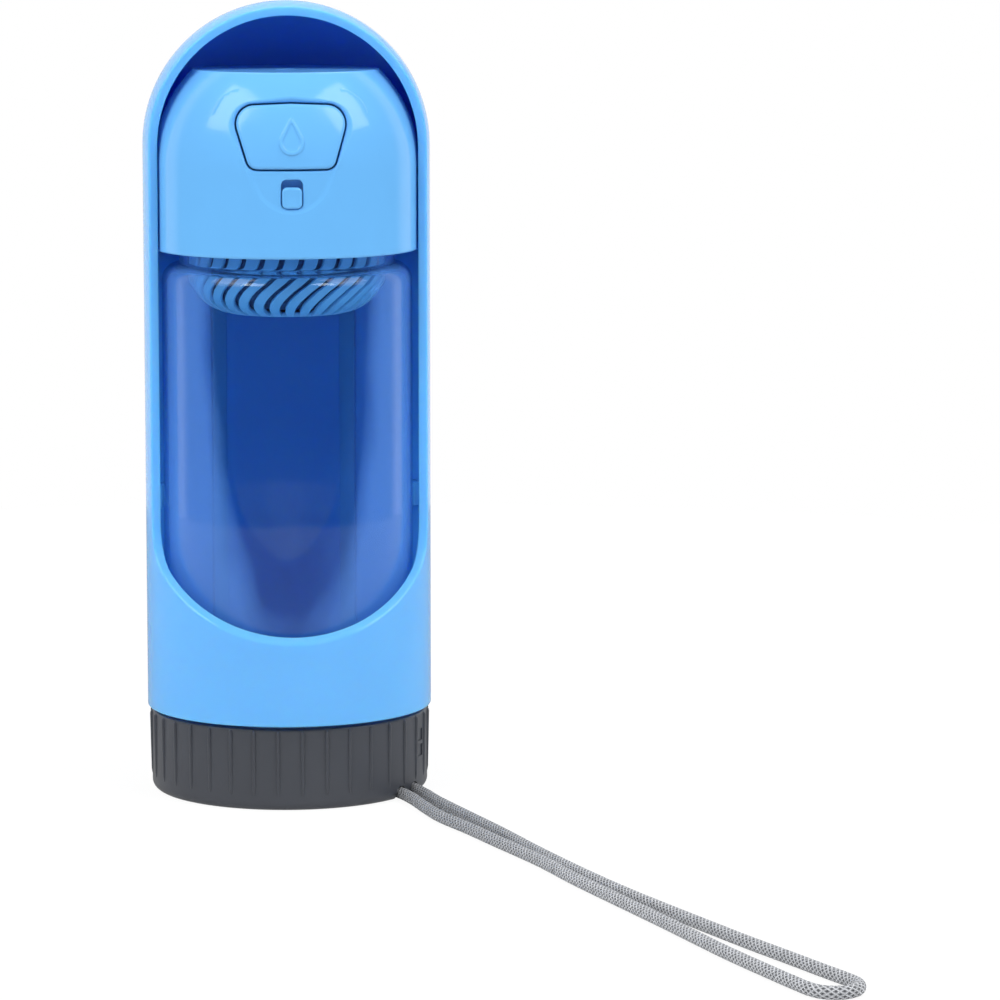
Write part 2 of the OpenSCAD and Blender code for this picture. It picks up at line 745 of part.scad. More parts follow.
module opening_cut() {
    rotate([90, 0, 90]) linear_extrude(2 * shell_r + 2 * over, center = true) polygon(concat(
        [[-opening_y, shell_dome_z + shell_r + over], [-shell_r - over, shell_dome_z + shell_r + over],
            [-shell_r - over, sill_front_z - over * tan(sill_slope)]],
        [for (s = [0:sill_steps]) let (a = -90 + sill_slope + (90 - sill_slope) * s / sill_steps)
            [sill_arc_y + sill_blend_r * cos(a), sill_arc_z + sill_blend_r * sin(a)]]
    ));
}

module trough_shell() color([0.36, 0.66, 0.94]) {
    difference() {
        union() {
            rotate_extrude() difference() {
                dome_half(shell_r, shell_z, shell_dome_z, shell_dome_z + shell_r + over);
                dome_half(shell_in_r, shell_z - over, shell_dome_z, shell_dome_z + shell_r + over);
            }
            for (side = [-1, 1]) {
                rotate([0, 0, side * rail_angle])
                    translate([-rail_w / 2, shell_in_r - rail_h, rail_from_z])
                        cube([rail_w, rail_h + shell_wall / 2, rail_to_z - rail_from_z]);
                rotate([0, 0, side * stop_angle])
                    translate([-stop_w / 2, -shell_in_r - shell_wall / 2, stop_top_z - stop_h])
                        cube([stop_w, shell_in_r + shell_wall / 2 - bottle_r - side_gap, stop_h]);
            }
        }
        opening_cut();
    }
}

base_cap();
wrist_cord();
cord_crimps();
base_gasket();
bottle_body();
filter_basket();
filter_core();
filter_pad();
basket_lid();
neck_gasket();
neck_collar();
head_housing();
trough_seal();
valve_block();
stem_oring();
rear_plug();
spout_grommet();
return_spring();
button_cap();
valve_stem();
valve_disc();
lock_knob();
lock_plate();
lock_retainer();
trough_shell();
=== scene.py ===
import math

import bmesh
import bpy
import numpy as np
from mathutils import Matrix, Vector
from mathutils.geometry import delaunay_2d_cdt


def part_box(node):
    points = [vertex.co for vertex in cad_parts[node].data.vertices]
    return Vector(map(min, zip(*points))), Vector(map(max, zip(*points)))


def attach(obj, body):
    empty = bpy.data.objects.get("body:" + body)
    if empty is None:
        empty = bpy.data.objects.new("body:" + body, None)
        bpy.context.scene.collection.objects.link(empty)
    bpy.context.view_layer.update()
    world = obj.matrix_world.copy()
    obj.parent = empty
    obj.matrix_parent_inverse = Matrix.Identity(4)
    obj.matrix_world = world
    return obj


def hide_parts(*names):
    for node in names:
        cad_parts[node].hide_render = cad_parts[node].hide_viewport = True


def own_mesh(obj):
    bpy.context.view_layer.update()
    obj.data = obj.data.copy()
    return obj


bl_info = {
    "name": "Dog Travel Water Bottle",
    "version": (1, 0, 0),
    "blender": (4, 5, 0),
    "location": "View3D > Sidebar > Bottle",
    "description": "Dresses a dog's travel bottle: trough shell, head, bottle, filter, cap and cord",
    "category": "Object",
}

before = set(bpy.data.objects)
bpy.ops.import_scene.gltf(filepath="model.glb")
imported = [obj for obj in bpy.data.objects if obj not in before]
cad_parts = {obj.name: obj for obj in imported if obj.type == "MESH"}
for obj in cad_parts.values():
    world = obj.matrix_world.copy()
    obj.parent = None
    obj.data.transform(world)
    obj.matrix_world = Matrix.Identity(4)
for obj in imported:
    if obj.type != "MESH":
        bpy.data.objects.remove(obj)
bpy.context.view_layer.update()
MM = 0.001
TURN = 2 * math.pi
WELD, SLIVER = 2e-6, 1e-7  # metres, between points that become one
SAME_POINT, NET_ROW, NET_GAP = 0.004, 0.866, 0.45  # mm, and shares of a flat net's step

# Sizes of the bottle's own pieces, in millimetres: front -Y, floor z = 0

# Trough shell: its wall, its opening's sill, and the rails and stops inside it
SHELL_R, SHELL_IN_R = 36.2, 34.0
SHELL_Z, SHELL_DOME_Z = 21.5, 164.2
OPENING_Y, SILL_ARC_Y, SILL_ARC_Z, SILL_ARC_R = -10.0, -25.0, 69.57, 15.0
SILL_SLOPE = math.radians(36.9)
RAIL_TURN, RAIL_W, RAIL_DEPTH, RAIL_Z, RAIL_TOP_Z = math.radians(31), 4.5, 1.1, 29.5, 158.2
STOP_TURN, STOP_W, STOP_IN_R, STOP_Z, STOP_TOP_Z = math.radians(100), 6.0, 32.15, 71.4, 77.4
GUIDE_ROOT = 0.6

# Head: its wall and dome, the rails' grooves, the seal's groove and the spout's seat
HEAD_R, HEAD_IN_R, HEAD_Z, HEAD_DOME_Z, HEAD_TOP_Z, HEAD_TOP_T = 33.5, 31.1, 137.9, 159.5, 183.3, 2.4
GROOVE_W, GROOVE_DEPTH, GROOVE_OUT, GROOVE_TOP_Z = 5.2, 1.45, 42, 183.4
SEAL_R, SEAL_OUT_R, SEAL_Z, SEAL_TOP_Z = 31.9, 40, 150.7, 153.1
SEAL_START, SEAL_SWEEP = math.radians(-10), math.radians(200)
SPOUT_Y, SPOUT_R, SPOUT_SEAT_R, SPOUT_SEAT_DEPTH = -5, 4, 5.65, 0.8
SPOUT_CUT_Z, SPOUT_CUT_TOP_Z = 175, 190

# Button, the hollow round it, and the lock, as circles (x, z, r) that an outline is pulled round
BUTTON_CIRCLES = [
    (-8.5, 162.55, 2.5), (8.5, 162.55, 2.5), (8.8, 170.9, 4.6), (0, 167.9, 8.0), (-8.8, 170.9, 4.6),
]
RECESS_CIRCLES = [(0, 158.9, 9.7), (8.8, 170.3, 6.2), (0, 167.9, 9.5), (-8.8, 170.3, 6.2)]
FACE_CIRCLES = [(-11.5, 152.0, 7.5), (11.5, 152.0, 7.5), (11.5, 171.5, 8.0), (-11.5, 171.5, 8.0)]
DROP_CIRCLES = [(0, 166.6, 3.15), (0, 172.1, 0.45)]
WELL_CIRCLES = [(0, 166.6, 2.2), (0, 170.9, 0.32)]
FACE_BACK_Y = -8
BUTTON_GAP, BUTTON_ROUND, BUTTON_HOLE_ROUND = 0.4, 0.7, 0.5
RECESS_Z, RECESS_H, RECESS_DEPTH, RECESS_LEAN, RECESS_STEP = 149.2, 26.7, 0.15, 0.55, 0.13
LIP_BACK_Y, LIP_T, LIP_OUT = -21.5, 1.4, 1.2
RECESS_RINGS = (0.45, 0.17, -0.17, -0.45, -0.8, -1.15, -1.5)
DROP_RINGS, WELL_RINGS, DROP_SINK = (0.14, 0.05, -0.04, -0.12, -0.24), (0.16, 0.06, -0.04, -0.14), 0.75
# The lock's slot and knob: width, foot, height and corner radius
SLOT, SLOT_ROUND = (5.39, 150.3, 7.2, 1.4), 0.3
KNOB, KNOB_ROUND = (4.95, 150.4, 5.2, 1.25), 0.55
KNOB_PROUD, KNOB_BACK_Y = 0.3, -30.5
DISH_Z, DISH_W, DISH_H, DISH_DEPTH = 153.0, 1.7, 1.3, 0.12

# Clear bottle
BOTTLE_R, BOTTLE_IN_R, NECK_R, NECK_IN_R = 31.7, 30.3, 27.2, 25.2
BOTTLE_Z, SHOULDER_Z, NECK_Z, SHOULDER_T = 9.3, 134.6, 143.5, 1.6

# Filter basket: its floor and flange, and the bars, which bend in under it
BASKET_R, BASKET_IN_R, BASKET_Z, BASKET_FLOOR_R, BASKET_FLOOR_T = 24.8, 23.6, 122.0, 15.4, 1.2
RIM_Z, FLANGE_Z, FLANGE_TOP_Z = 140.1, 143.5, 144.5
BAR_COUNT, BAR_R, BAR_TOP_Z, BAR_GAP = 32, 24.2, 140.6, 1.4
BAR_SECTION = (  # across, as a share of the half width, and outwards
    (-1, -0.35), (-0.86, -0.6), (0.86, -0.6), (1, -0.35),
    (1, 0.35), (0.86, 0.6), (-0.86, 0.6), (-1, 0.35),
)
BEND_Z, BEND_R, BEND_MIDDLE_R = 133.0, 10.4, 13.8
BAR_LEAN, LEAN_R, SWAY, SWAY_RUN = math.radians(22), 22.0, 0.085, 21

# Base cap, its grip ribs and pockets, and the lug for the cord under it
CAP_R, CAP_IN_R, CAP_H, CAP_FLOOR_Z = 35.2, 32.1, 20.7, 7.6
FOOT_IN_R, FOOT_DEPTH = 27.2, 5.2
RIB_COUNT, RIB_START, RIB_ROOT = 36, math.radians(2.8), 0.3
RIB_SHAPE = (  # height, how far out, half width
    (3.6, -0.1, 0.3), (4.0, 0.12, 0.42), (5.2, 0.3, 0.5), (12.0, 0.44, 0.5),
    (19.4, 0.58, 0.5), (20.0, 0.46, 0.46), (20.3, 0.05, 0.36),
)
POCKET_TURN, POCKET_W, POCKET_DEPTH = math.radians(67.8), 3.4, 0.35
POCKET_HEIGHTS = ((9.4, 12.4), (13.4, 16.4))
LUG_AT, LUG_HEADING, LUG_W, LUG_T, LUG_Z = (18.0, 5.0), math.radians(24.0), 10.2, 5.0, 0.3
CORD_PITCH, CORD_GROOVE_R, CORD_HOLE_R, CORD_HOLE_Z = 5.6, 1.75, 1.7, 2.6

# Wrist cord: its thickness, and its centre line from one crimp round the loop to the other
CORD_R, CORD_END_R, CORD_END = 1.5, 1.42, 1.0
CORD_ROUTE = [
    (19.52, 8.47, 2.6), (21.57, 3.86, 2.6), (24.22, -2.08, 2.1), (27.07, -8.48, 1.6),
    (30.32, -15.79, 1.6), (33.3, -24.9, 1.6), (35.9, -35, 1.6), (42, -54, 1.6),
    (48, -72.5, 1.6), (55, -96, 1.6), (62.5, -119, 1.6), (69.5, -138.5, 1.6),
    (76.5, -156, 1.6), (90.5, -189, 1.6), (97.6, -204.6, 1.6), (104.2, -219.2, 1.6),
    (107.8, -227, 1.6), (109.5, -231.9, 1.6), (108.7, -235.9, 1.6), (105.6, -238.5, 1.6),
    (101.6, -238.1, 1.6), (98.8, -235, 1.6), (96.5, -229.6, 1.6), (92.8, -220, 1.6),
    (86.5, -203, 1.6), (81.5, -188, 1.6), (75, -168, 1.6), (61.5, -128, 1.6),
    (54.5, -105, 1.6), (46.5, -83, 1.6), (40.4, -66.2, 1.6), (35, -52.5, 1.6),
    (32, -41, 1.6), (29.9, -31.3, 1.6), (27.64, -23.54, 1.6), (25.2, -18.06, 1.6),
    (21.95, -10.75, 1.6), (19.1, -4.36, 2.1), (16.46, 1.58, 2.6), (14.4, 6.19, 2.6),
]


# ---- Colours and shader maths ----

def srgb(r, g, b):
    """A display colour, 0 to 255, as the linear colour a shader takes."""
    def lin(c):
        c = c / 255
        return c / 12.92 if c <= 0.04045 else ((c + 0.055) / 1.055) ** 2.4
    return (lin(r), lin(g), lin(b), 1.0)


def shade(colour, share=1.0):
    """A colour of the panel, darkened to share, as a shader takes it."""
    return tuple(c * share for c in colour) + (1.0,)


def maths(operation, order=1):
    """A method that puts its socket and the values given with it into one Math node."""
    def method(self, *others):
        return self.shader.node("ShaderNodeMath", {"operation": operation}, [self, *others][::order])
    return method


class Val:
    """A shader socket that takes part in Python expressions."""

    def __init__(self, shader, socket):
        self.shader, self.socket = shader, socket

    __add__, __radd__ = maths("ADD"), maths("ADD", -1)
    __sub__, __rsub__ = maths("SUBTRACT"), maths("SUBTRACT", -1)
    __mul__, __rmul__ = maths("MULTIPLY"), maths("MULTIPLY", -1)
    __truediv__, __rtruediv__ = maths("DIVIDE"), maths("DIVIDE", -1)
    power, most, least = maths("POWER"), maths("MAXIMUM"), maths("MINIMUM")
    sine, size = maths("SINE"), maths("ABSOLUTE")

    def clamp(self, low, high):
        return self.most(low).least(high)


class Shader:
    """Builds the nodes of one material, or of the world."""

    def __init__(self, name, world=None):
        self.material = world or bpy.data.materials.new(name)
        self.material.use_nodes = True
        self.tree = self.material.node_tree
        self.tree.nodes.clear()

    def node(self, kind, settings=None, inputs=None, output=0):
        """Adds a node: its settings first, then the values or links of its sockets."""
        made = self.tree.nodes.new(kind)
        for key, value in (settings or {}).items():
            setattr(made, key, value)
        pairs = inputs.items() if isinstance(inputs, dict) else enumerate(inputs or [])
        for key, value in pairs:
            if isinstance(value, Val):
                self.tree.links.new(value.socket, made.inputs[key])
            elif value is not None:
                made.inputs[key].default_value = value
        return Val(self, made.outputs[output]) if len(made.outputs) else None

    def place(self, scale=None):
        """Object coordinates, stretched by scale."""
        where = self.node("ShaderNodeTexCoord", output="Object")
        return self.node("ShaderNodeMapping", None, {"Vector": where, "Scale": scale}) if scale else where

    def axis(self, vector, letter):
        """One coordinate of a vector."""
        return self.node("ShaderNodeSeparateXYZ", None, {"Vector": vector}, output=letter)

    def noise(self, scale, detail, stretch=None):
        """Cloudy noise over the piece, 0 to 1."""
        where = self.place(stretch)
        return self.node("ShaderNodeTexNoise", None, {"Vector": where, "Scale": scale, "Detail": detail})

    def ray(self, output):
        """What the Light Path node says of the ray."""
        return self.node("ShaderNodeLightPath", output=output)

    def mix(self, factor, a, b):
        """Colour a where factor is 0, b where it is 1."""
        return self.node("ShaderNodeMix", {"data_type": "RGBA"}, {0: factor, 6: a, 7: b}, output=2)

    def mix_shaders(self, factor, a, b):
        return self.node("ShaderNodeMixShader", None, {0: factor, 1: a, 2: b})

    def bump(self, height, distance):
        """A normal for relief of so many metres."""
        return self.node(
            "ShaderNodeBump", None, {"Height": height, "Distance": distance, "Strength": 1.0})

    def principled(self, **sockets):
        """The main shader, its sockets named with _ for a space."""
        named = {key.replace("_", " "): value for key, value in sockets.items()}
        return self.node("ShaderNodeBsdfPrincipled", None, named)

    def end(self, surface, kind="ShaderNodeOutputMaterial"):
        """Links the surface to the output, and hands over the material or world."""
        self.node(kind, None, {"Surface": surface})
        return self.material

    def finish(self, **sockets):
        """A material of one main shader."""
        return self.end(self.principled(**sockets))


# ---- Finishes ----

FINISHES = {}


def moulded(name, colour, colour_low, roughness, grain, **extra):
    """Injection-moulded plastic: a faint cloud in its colour, and a fine grain."""
    s = Shader(name)
    cloud = (s.noise(26.0, 3.0) * 1.6 - 0.3).clamp(0.0, 1.0)
    return s.finish(
        Base_Color=s.mix(cloud, colour_low, colour), Normal=s.bump(s.noise(1800.0, 2.0), grain),
        Roughness=s.noise(90.0, 3.0) * 0.06 + (roughness - 0.03), **extra)


def clear_plastic(look):
    """Clear bottle plastic with slow ripples from the mould. It lets light through to what it holds. A
    blue diffuse colour is mixed in as painted glow at the sides and foot, standing in for the lit shell
    seen through them, and as a painted reflection along the edges.
    """
    s = Shader("clear_bottle")
    tint = shade(look.bottle_tint)
    clear = s.principled(
        Base_Color=tint, Roughness=0.02, IOR=1.40, Transmission_Weight=1.0,
        Normal=s.bump(s.noise(60.0, 1.0, (1.0, 1.0, 0.25)), 0.00006))
    # Painted glow: a blue diffuse plastic, mixed over the clear one where the mask below asks
    painted_glow = s.principled(Base_Color=shade(look.painted_bottle_glow), Roughness=0.25, Transmission_Weight=0.0)
    across, height = s.axis(s.place(), "X"), s.axis(s.place(), "Z")
    # The upper middle, which the head shades, stays clear; the painted glow grows outside this oval, at
    # the sides and towards the foot
    shaded_w, shaded_top, shaded_h = 0.021, 0.125, 0.085
    from_shaded_middle = (across / shaded_w).size().power(2.0) + ((shaded_top - height) / shaded_h).clamp(0.0, 2.0).power(2.0)
    painted_glow_mask = (from_shaded_middle + s.noise(95.0, 2.0, (1.0, 1.0, 0.4)) * 0.5 - 1.05) / 0.4
    # Painted reflection: more of the blue colour where the bottle is seen edgeways
    edge = s.node("ShaderNodeLayerWeight", None, {"Blend": 0.5}, output="Facing").power(2.6)
    clear_and_painted_glow = s.mix_shaders((painted_glow_mask.clamp(0.0, 1.0) * 0.17 + edge * 0.3).clamp(0.0, 0.6), clear, painted_glow)
    lets_through = s.node("ShaderNodeBsdfTransparent", None, {"Color": tint})
    return s.end(s.mix_shaders(s.ray("Is Shadow Ray").most(s.ray("Is Diffuse Ray")), clear_and_painted_glow, lets_through))


def carbon_finish():
    """Dark filter granules, as they look through the blue basket."""
    s = Shader("carbon")
    grains = s.node("ShaderNodeTexVoronoi", None, {"Vector": s.place(), "Scale": 900.0})
    return s.finish(
        Base_Color=s.mix(grains, srgb(58, 112, 168), srgb(30, 66, 112)), Roughness=0.75,
        Normal=s.bump(grains, 0.0002))


def pad_finish():
    """White felt, its fibres lying flat."""
    s = Shader("filter_pad")
    fibres = s.noise(700.0, 4.0, (1, 1, 6))
    return s.finish(
        Base_Color=s.mix(fibres, srgb(206, 206, 200), srgb(240, 240, 236)), Roughness=0.9,
        Sheen_Weight=0.4, Normal=s.bump(fibres, 0.0002))


def steel_finish():
    """Drawn steel, a little uneven in its shine."""
    s = Shader("spring_steel")
    draw = s.noise(400.0, 3.0)
    return s.finish(
        Base_Color=s.mix(draw, srgb(150, 152, 156), srgb(196, 198, 202)), Metallic=1.0,
        Roughness=draw * 0.2 + 0.2)


def braid_finish(look):
    """Plaited cord: strands cross over and under each other along the cord's own UV map."""
    s = Shader("cord_braid")
    uv = s.node("ShaderNodeUVMap", {"uv_map": "cord"})
    strands = TURN * look.braid_strands
    along, around = s.axis(uv, "X"), s.axis(uv, "Y")
    over = (along * TURN + around * strands).sine().most((along * TURN - around * strands).sine())
    fibre = (along * (TURN * 3) + around * (strands * 3)).sine()
    # Painted shade: the tone darkens by up to half towards the cap, and between the strands where over is
    # low
    near_cap, fade = 0.13, 0.11
    painted_shade_near_cap = ((s.axis(s.place(), "Y") + near_cap) / fade).clamp(0.0, 1.0) * 0.5
    tone = ((over * 0.46 + s.noise(700.0, 2.0) * 0.5 + 0.03) * (1.0 - painted_shade_near_cap)).clamp(0.0, 1.0)
    return s.finish(
        Base_Color=s.mix(tone, shade(look.braid_dark), shade(look.braid_light)), Roughness=0.62,
        Sheen_Weight=0.25, Normal=s.bump(over * 0.8 + fibre * 0.12, 0.00022))


def make_finishes(look):
    """Fills FINISHES from the colours of the panel."""
    blue, grey = look.shell_blue, look.cap_grey
    glow = {"Subsurface_Weight": 0.8, "Subsurface_Radius": (0.3, 0.7, 1.0), "Subsurface_Scale": 0.003}
    plastics = {
        "shell_blue": (shade(blue), shade(blue, 0.93), 0.13, 0.000004, glow),
        "solid_blue": (shade(blue), shade(blue, 0.93), 0.13, 0.000004, {}),
        "filter_blue": (shade(look.filter_blue), shade(look.filter_blue, 0.9), 0.34, 0.00001, {}),
        "cap_grey": (shade(grey), shade(grey, 0.85), 0.36, 0.00002, {}),
        "soft_seal": (srgb(214, 222, 226), srgb(200, 210, 216), 0.55, 0.00002, {}),
        "inner_white": (srgb(226, 230, 233), srgb(214, 219, 224), 0.4, 0.00001, {}),
        "black_rubber": (srgb(34, 35, 38), srgb(26, 27, 30), 0.6, 0.00003, {}),
    }
    for name, (colour, low, roughness, grain, extra) in plastics.items():
        FINISHES[name] = moulded(name, colour, low, roughness, grain, **extra)
    FINISHES.update(
        clear_bottle=clear_plastic(look), braid=braid_finish(look), carbon=carbon_finish(),
        filter_pad=pad_finish(), steel=steel_finish())


# ---- Making meshes ----

def belt(circles, grow=0.0, steps=7):
    """The outline round circles (x, z, r) listed anticlockwise, as a string pulled round them."""
    ring = [(x, z, r + grow) for x, z, r in circles]
    points = []

    def heading(a, b):
        """The angle, seen from both circles, at which the string touches them."""
        d = (b[0] - a[0], b[1] - a[1])
        lean = max(-1.0, min(1.0, (a[2] - b[2]) / math.hypot(*d)))
        return math.atan2(d[1], d[0]) - math.pi / 2 + math.asin(lean)

    for i, c in enumerate(ring):
        a0 = heading(ring[i - 1], c)
        a1 = heading(c, ring[(i + 1) % len(ring)])
        turn = (a1 - a0) % TURN
        if turn > TURN - 1e-6:
            turn = 0.0
        count = max(2, int(math.ceil(steps * turn / (math.pi / 2))))
        for k in range(count + 1):
            a = a0 + turn * k / count
            points.append((c[0] + c[2] * math.cos(a), c[1] + c[2] * math.sin(a)))
    return np.array([p for i, p in enumerate(points) if math.dist(p, points[i - 1]) > SAME_POINT])


def spread(loop, step):
    """The same closed outline, with points no further apart than step."""
    out = []
    for a, b in zip(loop, np.roll(loop, -1, axis=0)):
        n = max(1, int(math.ceil(math.dist(a, b) / step)))
        out += [a + (b - a) * k / n for k in range(n)]
    return np.array(out)


def round_box(w, z0, h, r, grow=0.0):
    """The corner circles of an upright box, for belt(): width, foot, height and corner radius."""
    w, z0, h, r = w + 2 * grow, z0 - grow, h + 2 * grow, r + grow
    x = w / 2 - r
    return [(-x, z0 + r, r), (x, z0 + r, r), (x, z0 + h - r, r), (-x, z0 + h - r, r)]


def inside(loop, points):
    """Which points lie inside a closed outline."""
    x, z = points[:, 0][:, None], points[:, 1][:, None]
    ax, az = loop[:, 0], loop[:, 1]
    bx, bz = np.roll(ax, -1), np.roll(az, -1)
    crosses = (az > z) != (bz > z)
    with np.errstate(divide="ignore", invalid="ignore"):
        at = ax + (z - az) * (bx - ax) / (bz - az)
    return (np.sum(crosses & (x < at), axis=1) % 2) == 1


def distance(loop, points):
    """How far each point is from a closed outline."""
    best = np.full(len(points), 1e9)
    for start, run in zip(loop, np.roll(loop, -1, axis=0) - loop):
        rel = points - start
        t = np.clip(rel @ run / max(run @ run, 1e-12), 0, 1)
        best = np.minimum(best, np.hypot(*(rel - t[:, None] * run).T))
    return best


def depth(loop, points):
    """How far each point is inside a closed outline, negative outside it."""
    away = distance(loop, points)
    return np.where(inside(loop, points), away, -away)


def relief_faces(outer, rings, holes, step):
    """A flat triangle net inside outer, outside holes, with an edge along every ring."""
    def wanted(points):
        """Which points lie inside outer and outside every hole."""
        keep = inside(outer, points)
        for hole in holes:
            keep &= ~inside(hole, points)
        return keep

    flat, edges = [], []
    for loop in (outer, *rings, *holes):
        start = len(flat)
        flat += [tuple(p) for p in loop]
        edges += [(start + i, start + (i + 1) % len(loop)) for i in range(len(loop))]
    low, high = outer.min(axis=0), outer.max(axis=0)
    rows = []
    z, row = low[1] + step / 2, 0
    while z < high[1]:
        x = np.arange(low[0] + (step / 2 if row % 2 else 0), high[0], step)
        rows.append(np.stack([x, np.full_like(x, z)], axis=1))
        z, row = z + step * NET_ROW, row + 1
    grid = np.concatenate(rows)
    grid = grid[wanted(grid)]
    edge_points = np.array(flat)
    near = np.array([np.min(np.hypot(*(edge_points - p).T)) for p in grid])
    flat += [tuple(p) for p in grid[near > NET_GAP * step]]
    verts, _, faces, *_ = delaunay_2d_cdt([Vector(p) for p in flat], edges, [], 0, 1e-5)
    verts = np.array([tuple(v) for v in verts])
    middles = np.array([verts[list(f)].mean(axis=0) for f in faces])
    return verts, [tuple(f) for f, good in zip(faces, wanted(middles)) if good]


def relief_solid(net, front, back):
    """A closed solid from a flat net: front and back give Y for each (x, z)."""
    verts, faces = net
    n = len(verts)
    points = [(x, y, z) for side in (front, back) for (x, z), y in zip(verts, side(verts))]
    open_edges = {}
    for f in faces:
        for i in range(len(f)):
            edge = (f[i], f[(i + 1) % len(f)])
            if edge[::-1] in open_edges:
                del open_edges[edge[::-1]]
            else:
                open_edges[edge] = True
    sides = [(a, b, b + n, a + n) for a, b in open_edges]
    return points, [tuple(f) for f in faces] + [tuple(i + n for i in reversed(f)) for f in faces] + sides


def round_over(d, r):
    """How far a surface drops at distance d from its edge, where the edge is rounded by r."""
    t = r - np.minimum(d, r)
    return r - np.sqrt(np.maximum(r * r - t * t, 0))


def soft_step(t):
    """0 up to t = 0 and 1 from t = 1, smooth between."""
    t = np.clip(t, 0, 1)
    return t * t * t * (t * (6 * t - 15) + 10)


def arc(r, start, end, steps, x=0.0, z=0.0):
    """Points round (x, z) from one angle to another."""
    angles = [start + (end - start) * k / steps for k in range(steps + 1)]
    return [(x + r * math.cos(a), z + r * math.sin(a)) for a in angles]


def lathe(profile, segments, start=0.0, sweep=TURN):
    """Turns a closed profile of (r, z) about the Z axis."""
    closed = sweep > TURN - 1e-6
    count = segments if closed else segments + 1
    verts, faces, place = [], [], []
    for r, z in profile:
        if r < 1e-6:
            place.append([len(verts)] * count)
            verts.append((0.0, 0.0, z))
        else:
            place.append(list(range(len(verts), len(verts) + count)))
            for k in range(count):
                a = start + sweep * k / segments
                verts.append((r * math.cos(a), r * math.sin(a), z))
    for i in range(len(profile)):
        low, high = place[i], place[(i + 1) % len(profile)]
        for k in range(segments):
            k1 = (k + 1) % count
            face = [low[k], low[k1], high[k1], high[k]]
            face = [v for j, v in enumerate(face) if v != face[j - 1]]
            if len(face) > 2:
                faces.append(tuple(face))
    if not closed:
        faces.append(tuple(p[0] for p in place))
        faces.append(tuple(p[-1] for p in reversed(place)))
    return verts, faces


def rounded(corners, steps=5):
    """A closed outline with its corners (a, b, radius) rounded."""
    out = []
    n = len(corners)
    for i, (x, z, r) in enumerate(corners):
        if r <= 0:
            out.append((x, z))
            continue
        p = np.array([x, z])
        back = np.array(corners[i - 1][:2]) - p
        ahead = np.array(corners[(i + 1) % n][:2]) - p
        back, ahead = back / np.linalg.norm(back), ahead / np.linalg.norm(ahead)
        half = math.acos(max(-1, min(1, back @ ahead))) / 2
        reach = r / math.tan(half)
        middle = p + (back + ahead) / np.linalg.norm(back + ahead) * (r / math.sin(half))
        a, b = p + back * reach - middle, p + ahead * reach - middle
        a0, a1 = math.atan2(a[1], a[0]), math.atan2(b[1], b[0])
        turn = (a1 - a0 + math.pi) % TURN - math.pi
        for k in range(steps + 1):
            t = a0 + turn * k / steps
            out.append((middle[0] + r * math.cos(t), middle[1] + r * math.sin(t)))
    return out


def divided(profile, step):
    """A closed profile with its long edges cut into pieces of at least step."""
    full = []
    for a, b in zip(profile, profile[1:] + profile[:1]):
        n = max(1, int(math.dist(a, b) / step))
        full += [(a[0] + (b[0] - a[0]) * k / n, a[1] + (b[1] - a[1]) * k / n) for k in range(n)]
    return full


def prism(loop, y0, y1):
    """A solid along Y whose section is the outline."""
    n = len(loop)
    verts = [(x, y, z) for y in (y0, y1) for x, z in loop]
    faces = [tuple(range(n)), tuple(range(2 * n - 1, n - 1, -1))]
    return verts, faces + [(i, (i + 1) % n, (i + 1) % n + n, i + n) for i in range(n)]


def box_solid(x0, x1, y0, y1, z0, z1):
    """A box between two corners."""
    verts = [(x, y, z) for x in (x0, x1) for y in (y0, y1) for z in (z0, z1)]
    faces = [(0, 1, 3, 2), (4, 6, 7, 5), (0, 4, 5, 1), (2, 3, 7, 6), (0, 2, 6, 4), (1, 5, 7, 3)]
    return verts, faces


def turned_box(turn, *extents):
    """A box turned by an angle about the Z axis."""
    verts, faces = box_solid(*extents)
    c, s = math.cos(turn), math.sin(turn)
    return [(x * c - y * s, x * s + y * c, z) for x, y, z in verts], faces


def grid_part(grid):
    """The open surface over columns of points."""
    n = len(grid[0])
    verts = [p for column in grid for p in column]
    faces = [(i * n + j, (i + 1) * n + j, (i + 1) * n + j + 1, i * n + j + 1)
             for i in range(len(grid) - 1) for j in range(n - 1)]
    return verts, faces


def loops_part(loops, ends=False):
    """The surface through closed loops of as many points each, with both ends shut where asked."""
    n = len(loops[0])
    verts = [p for loop in loops for p in loop]
    faces = [(i * n + j, i * n + (j + 1) % n, (i + 1) * n + (j + 1) % n, (i + 1) * n + j)
             for i in range(len(loops) - 1) for j in range(n)]
    if ends:
        faces += [tuple(range(n)), tuple(reversed(range(len(verts) - n, len(verts))))]
    return verts, faces


def join_parts(*parts):
    """Several lists of verts and faces as one."""
    verts, faces = [], []
    for v, f in parts:
        base = len(verts)
        verts += [tuple(p) for p in v]
        faces += [tuple(i + base for i in face) for face in f]
    return verts, faces


def smooth(obj, sharp=38):
    """Shades an object smooth, apart from edges sharper than so many degrees."""
    obj.data.shade_smooth()
    obj.data.set_sharp_from_angle(angle=math.radians(sharp))


def new_object(name, verts, faces, material=None, sharp=38):
    """Puts a mesh, given in millimetres, into the scene with its faces outwards."""
    mesh = bpy.data.meshes.new(name)
    mesh.from_pydata([(x * MM, y * MM, z * MM) for x, y, z in verts], [], faces)
    work = bmesh.new()
    work.from_mesh(mesh)
    bmesh.ops.remove_doubles(work, verts=work.verts, dist=WELD)
    bmesh.ops.dissolve_degenerate(work, edges=work.edges, dist=SLIVER)
    bmesh.ops.recalc_face_normals(work, faces=work.faces)
    work.to_mesh(mesh)
    work.free()
    obj = bpy.data.objects.new(name, mesh)
    bpy.context.scene.collection.objects.link(obj)
    if material:
        mesh.materials.append(material)
    smooth(obj, sharp)
    return obj


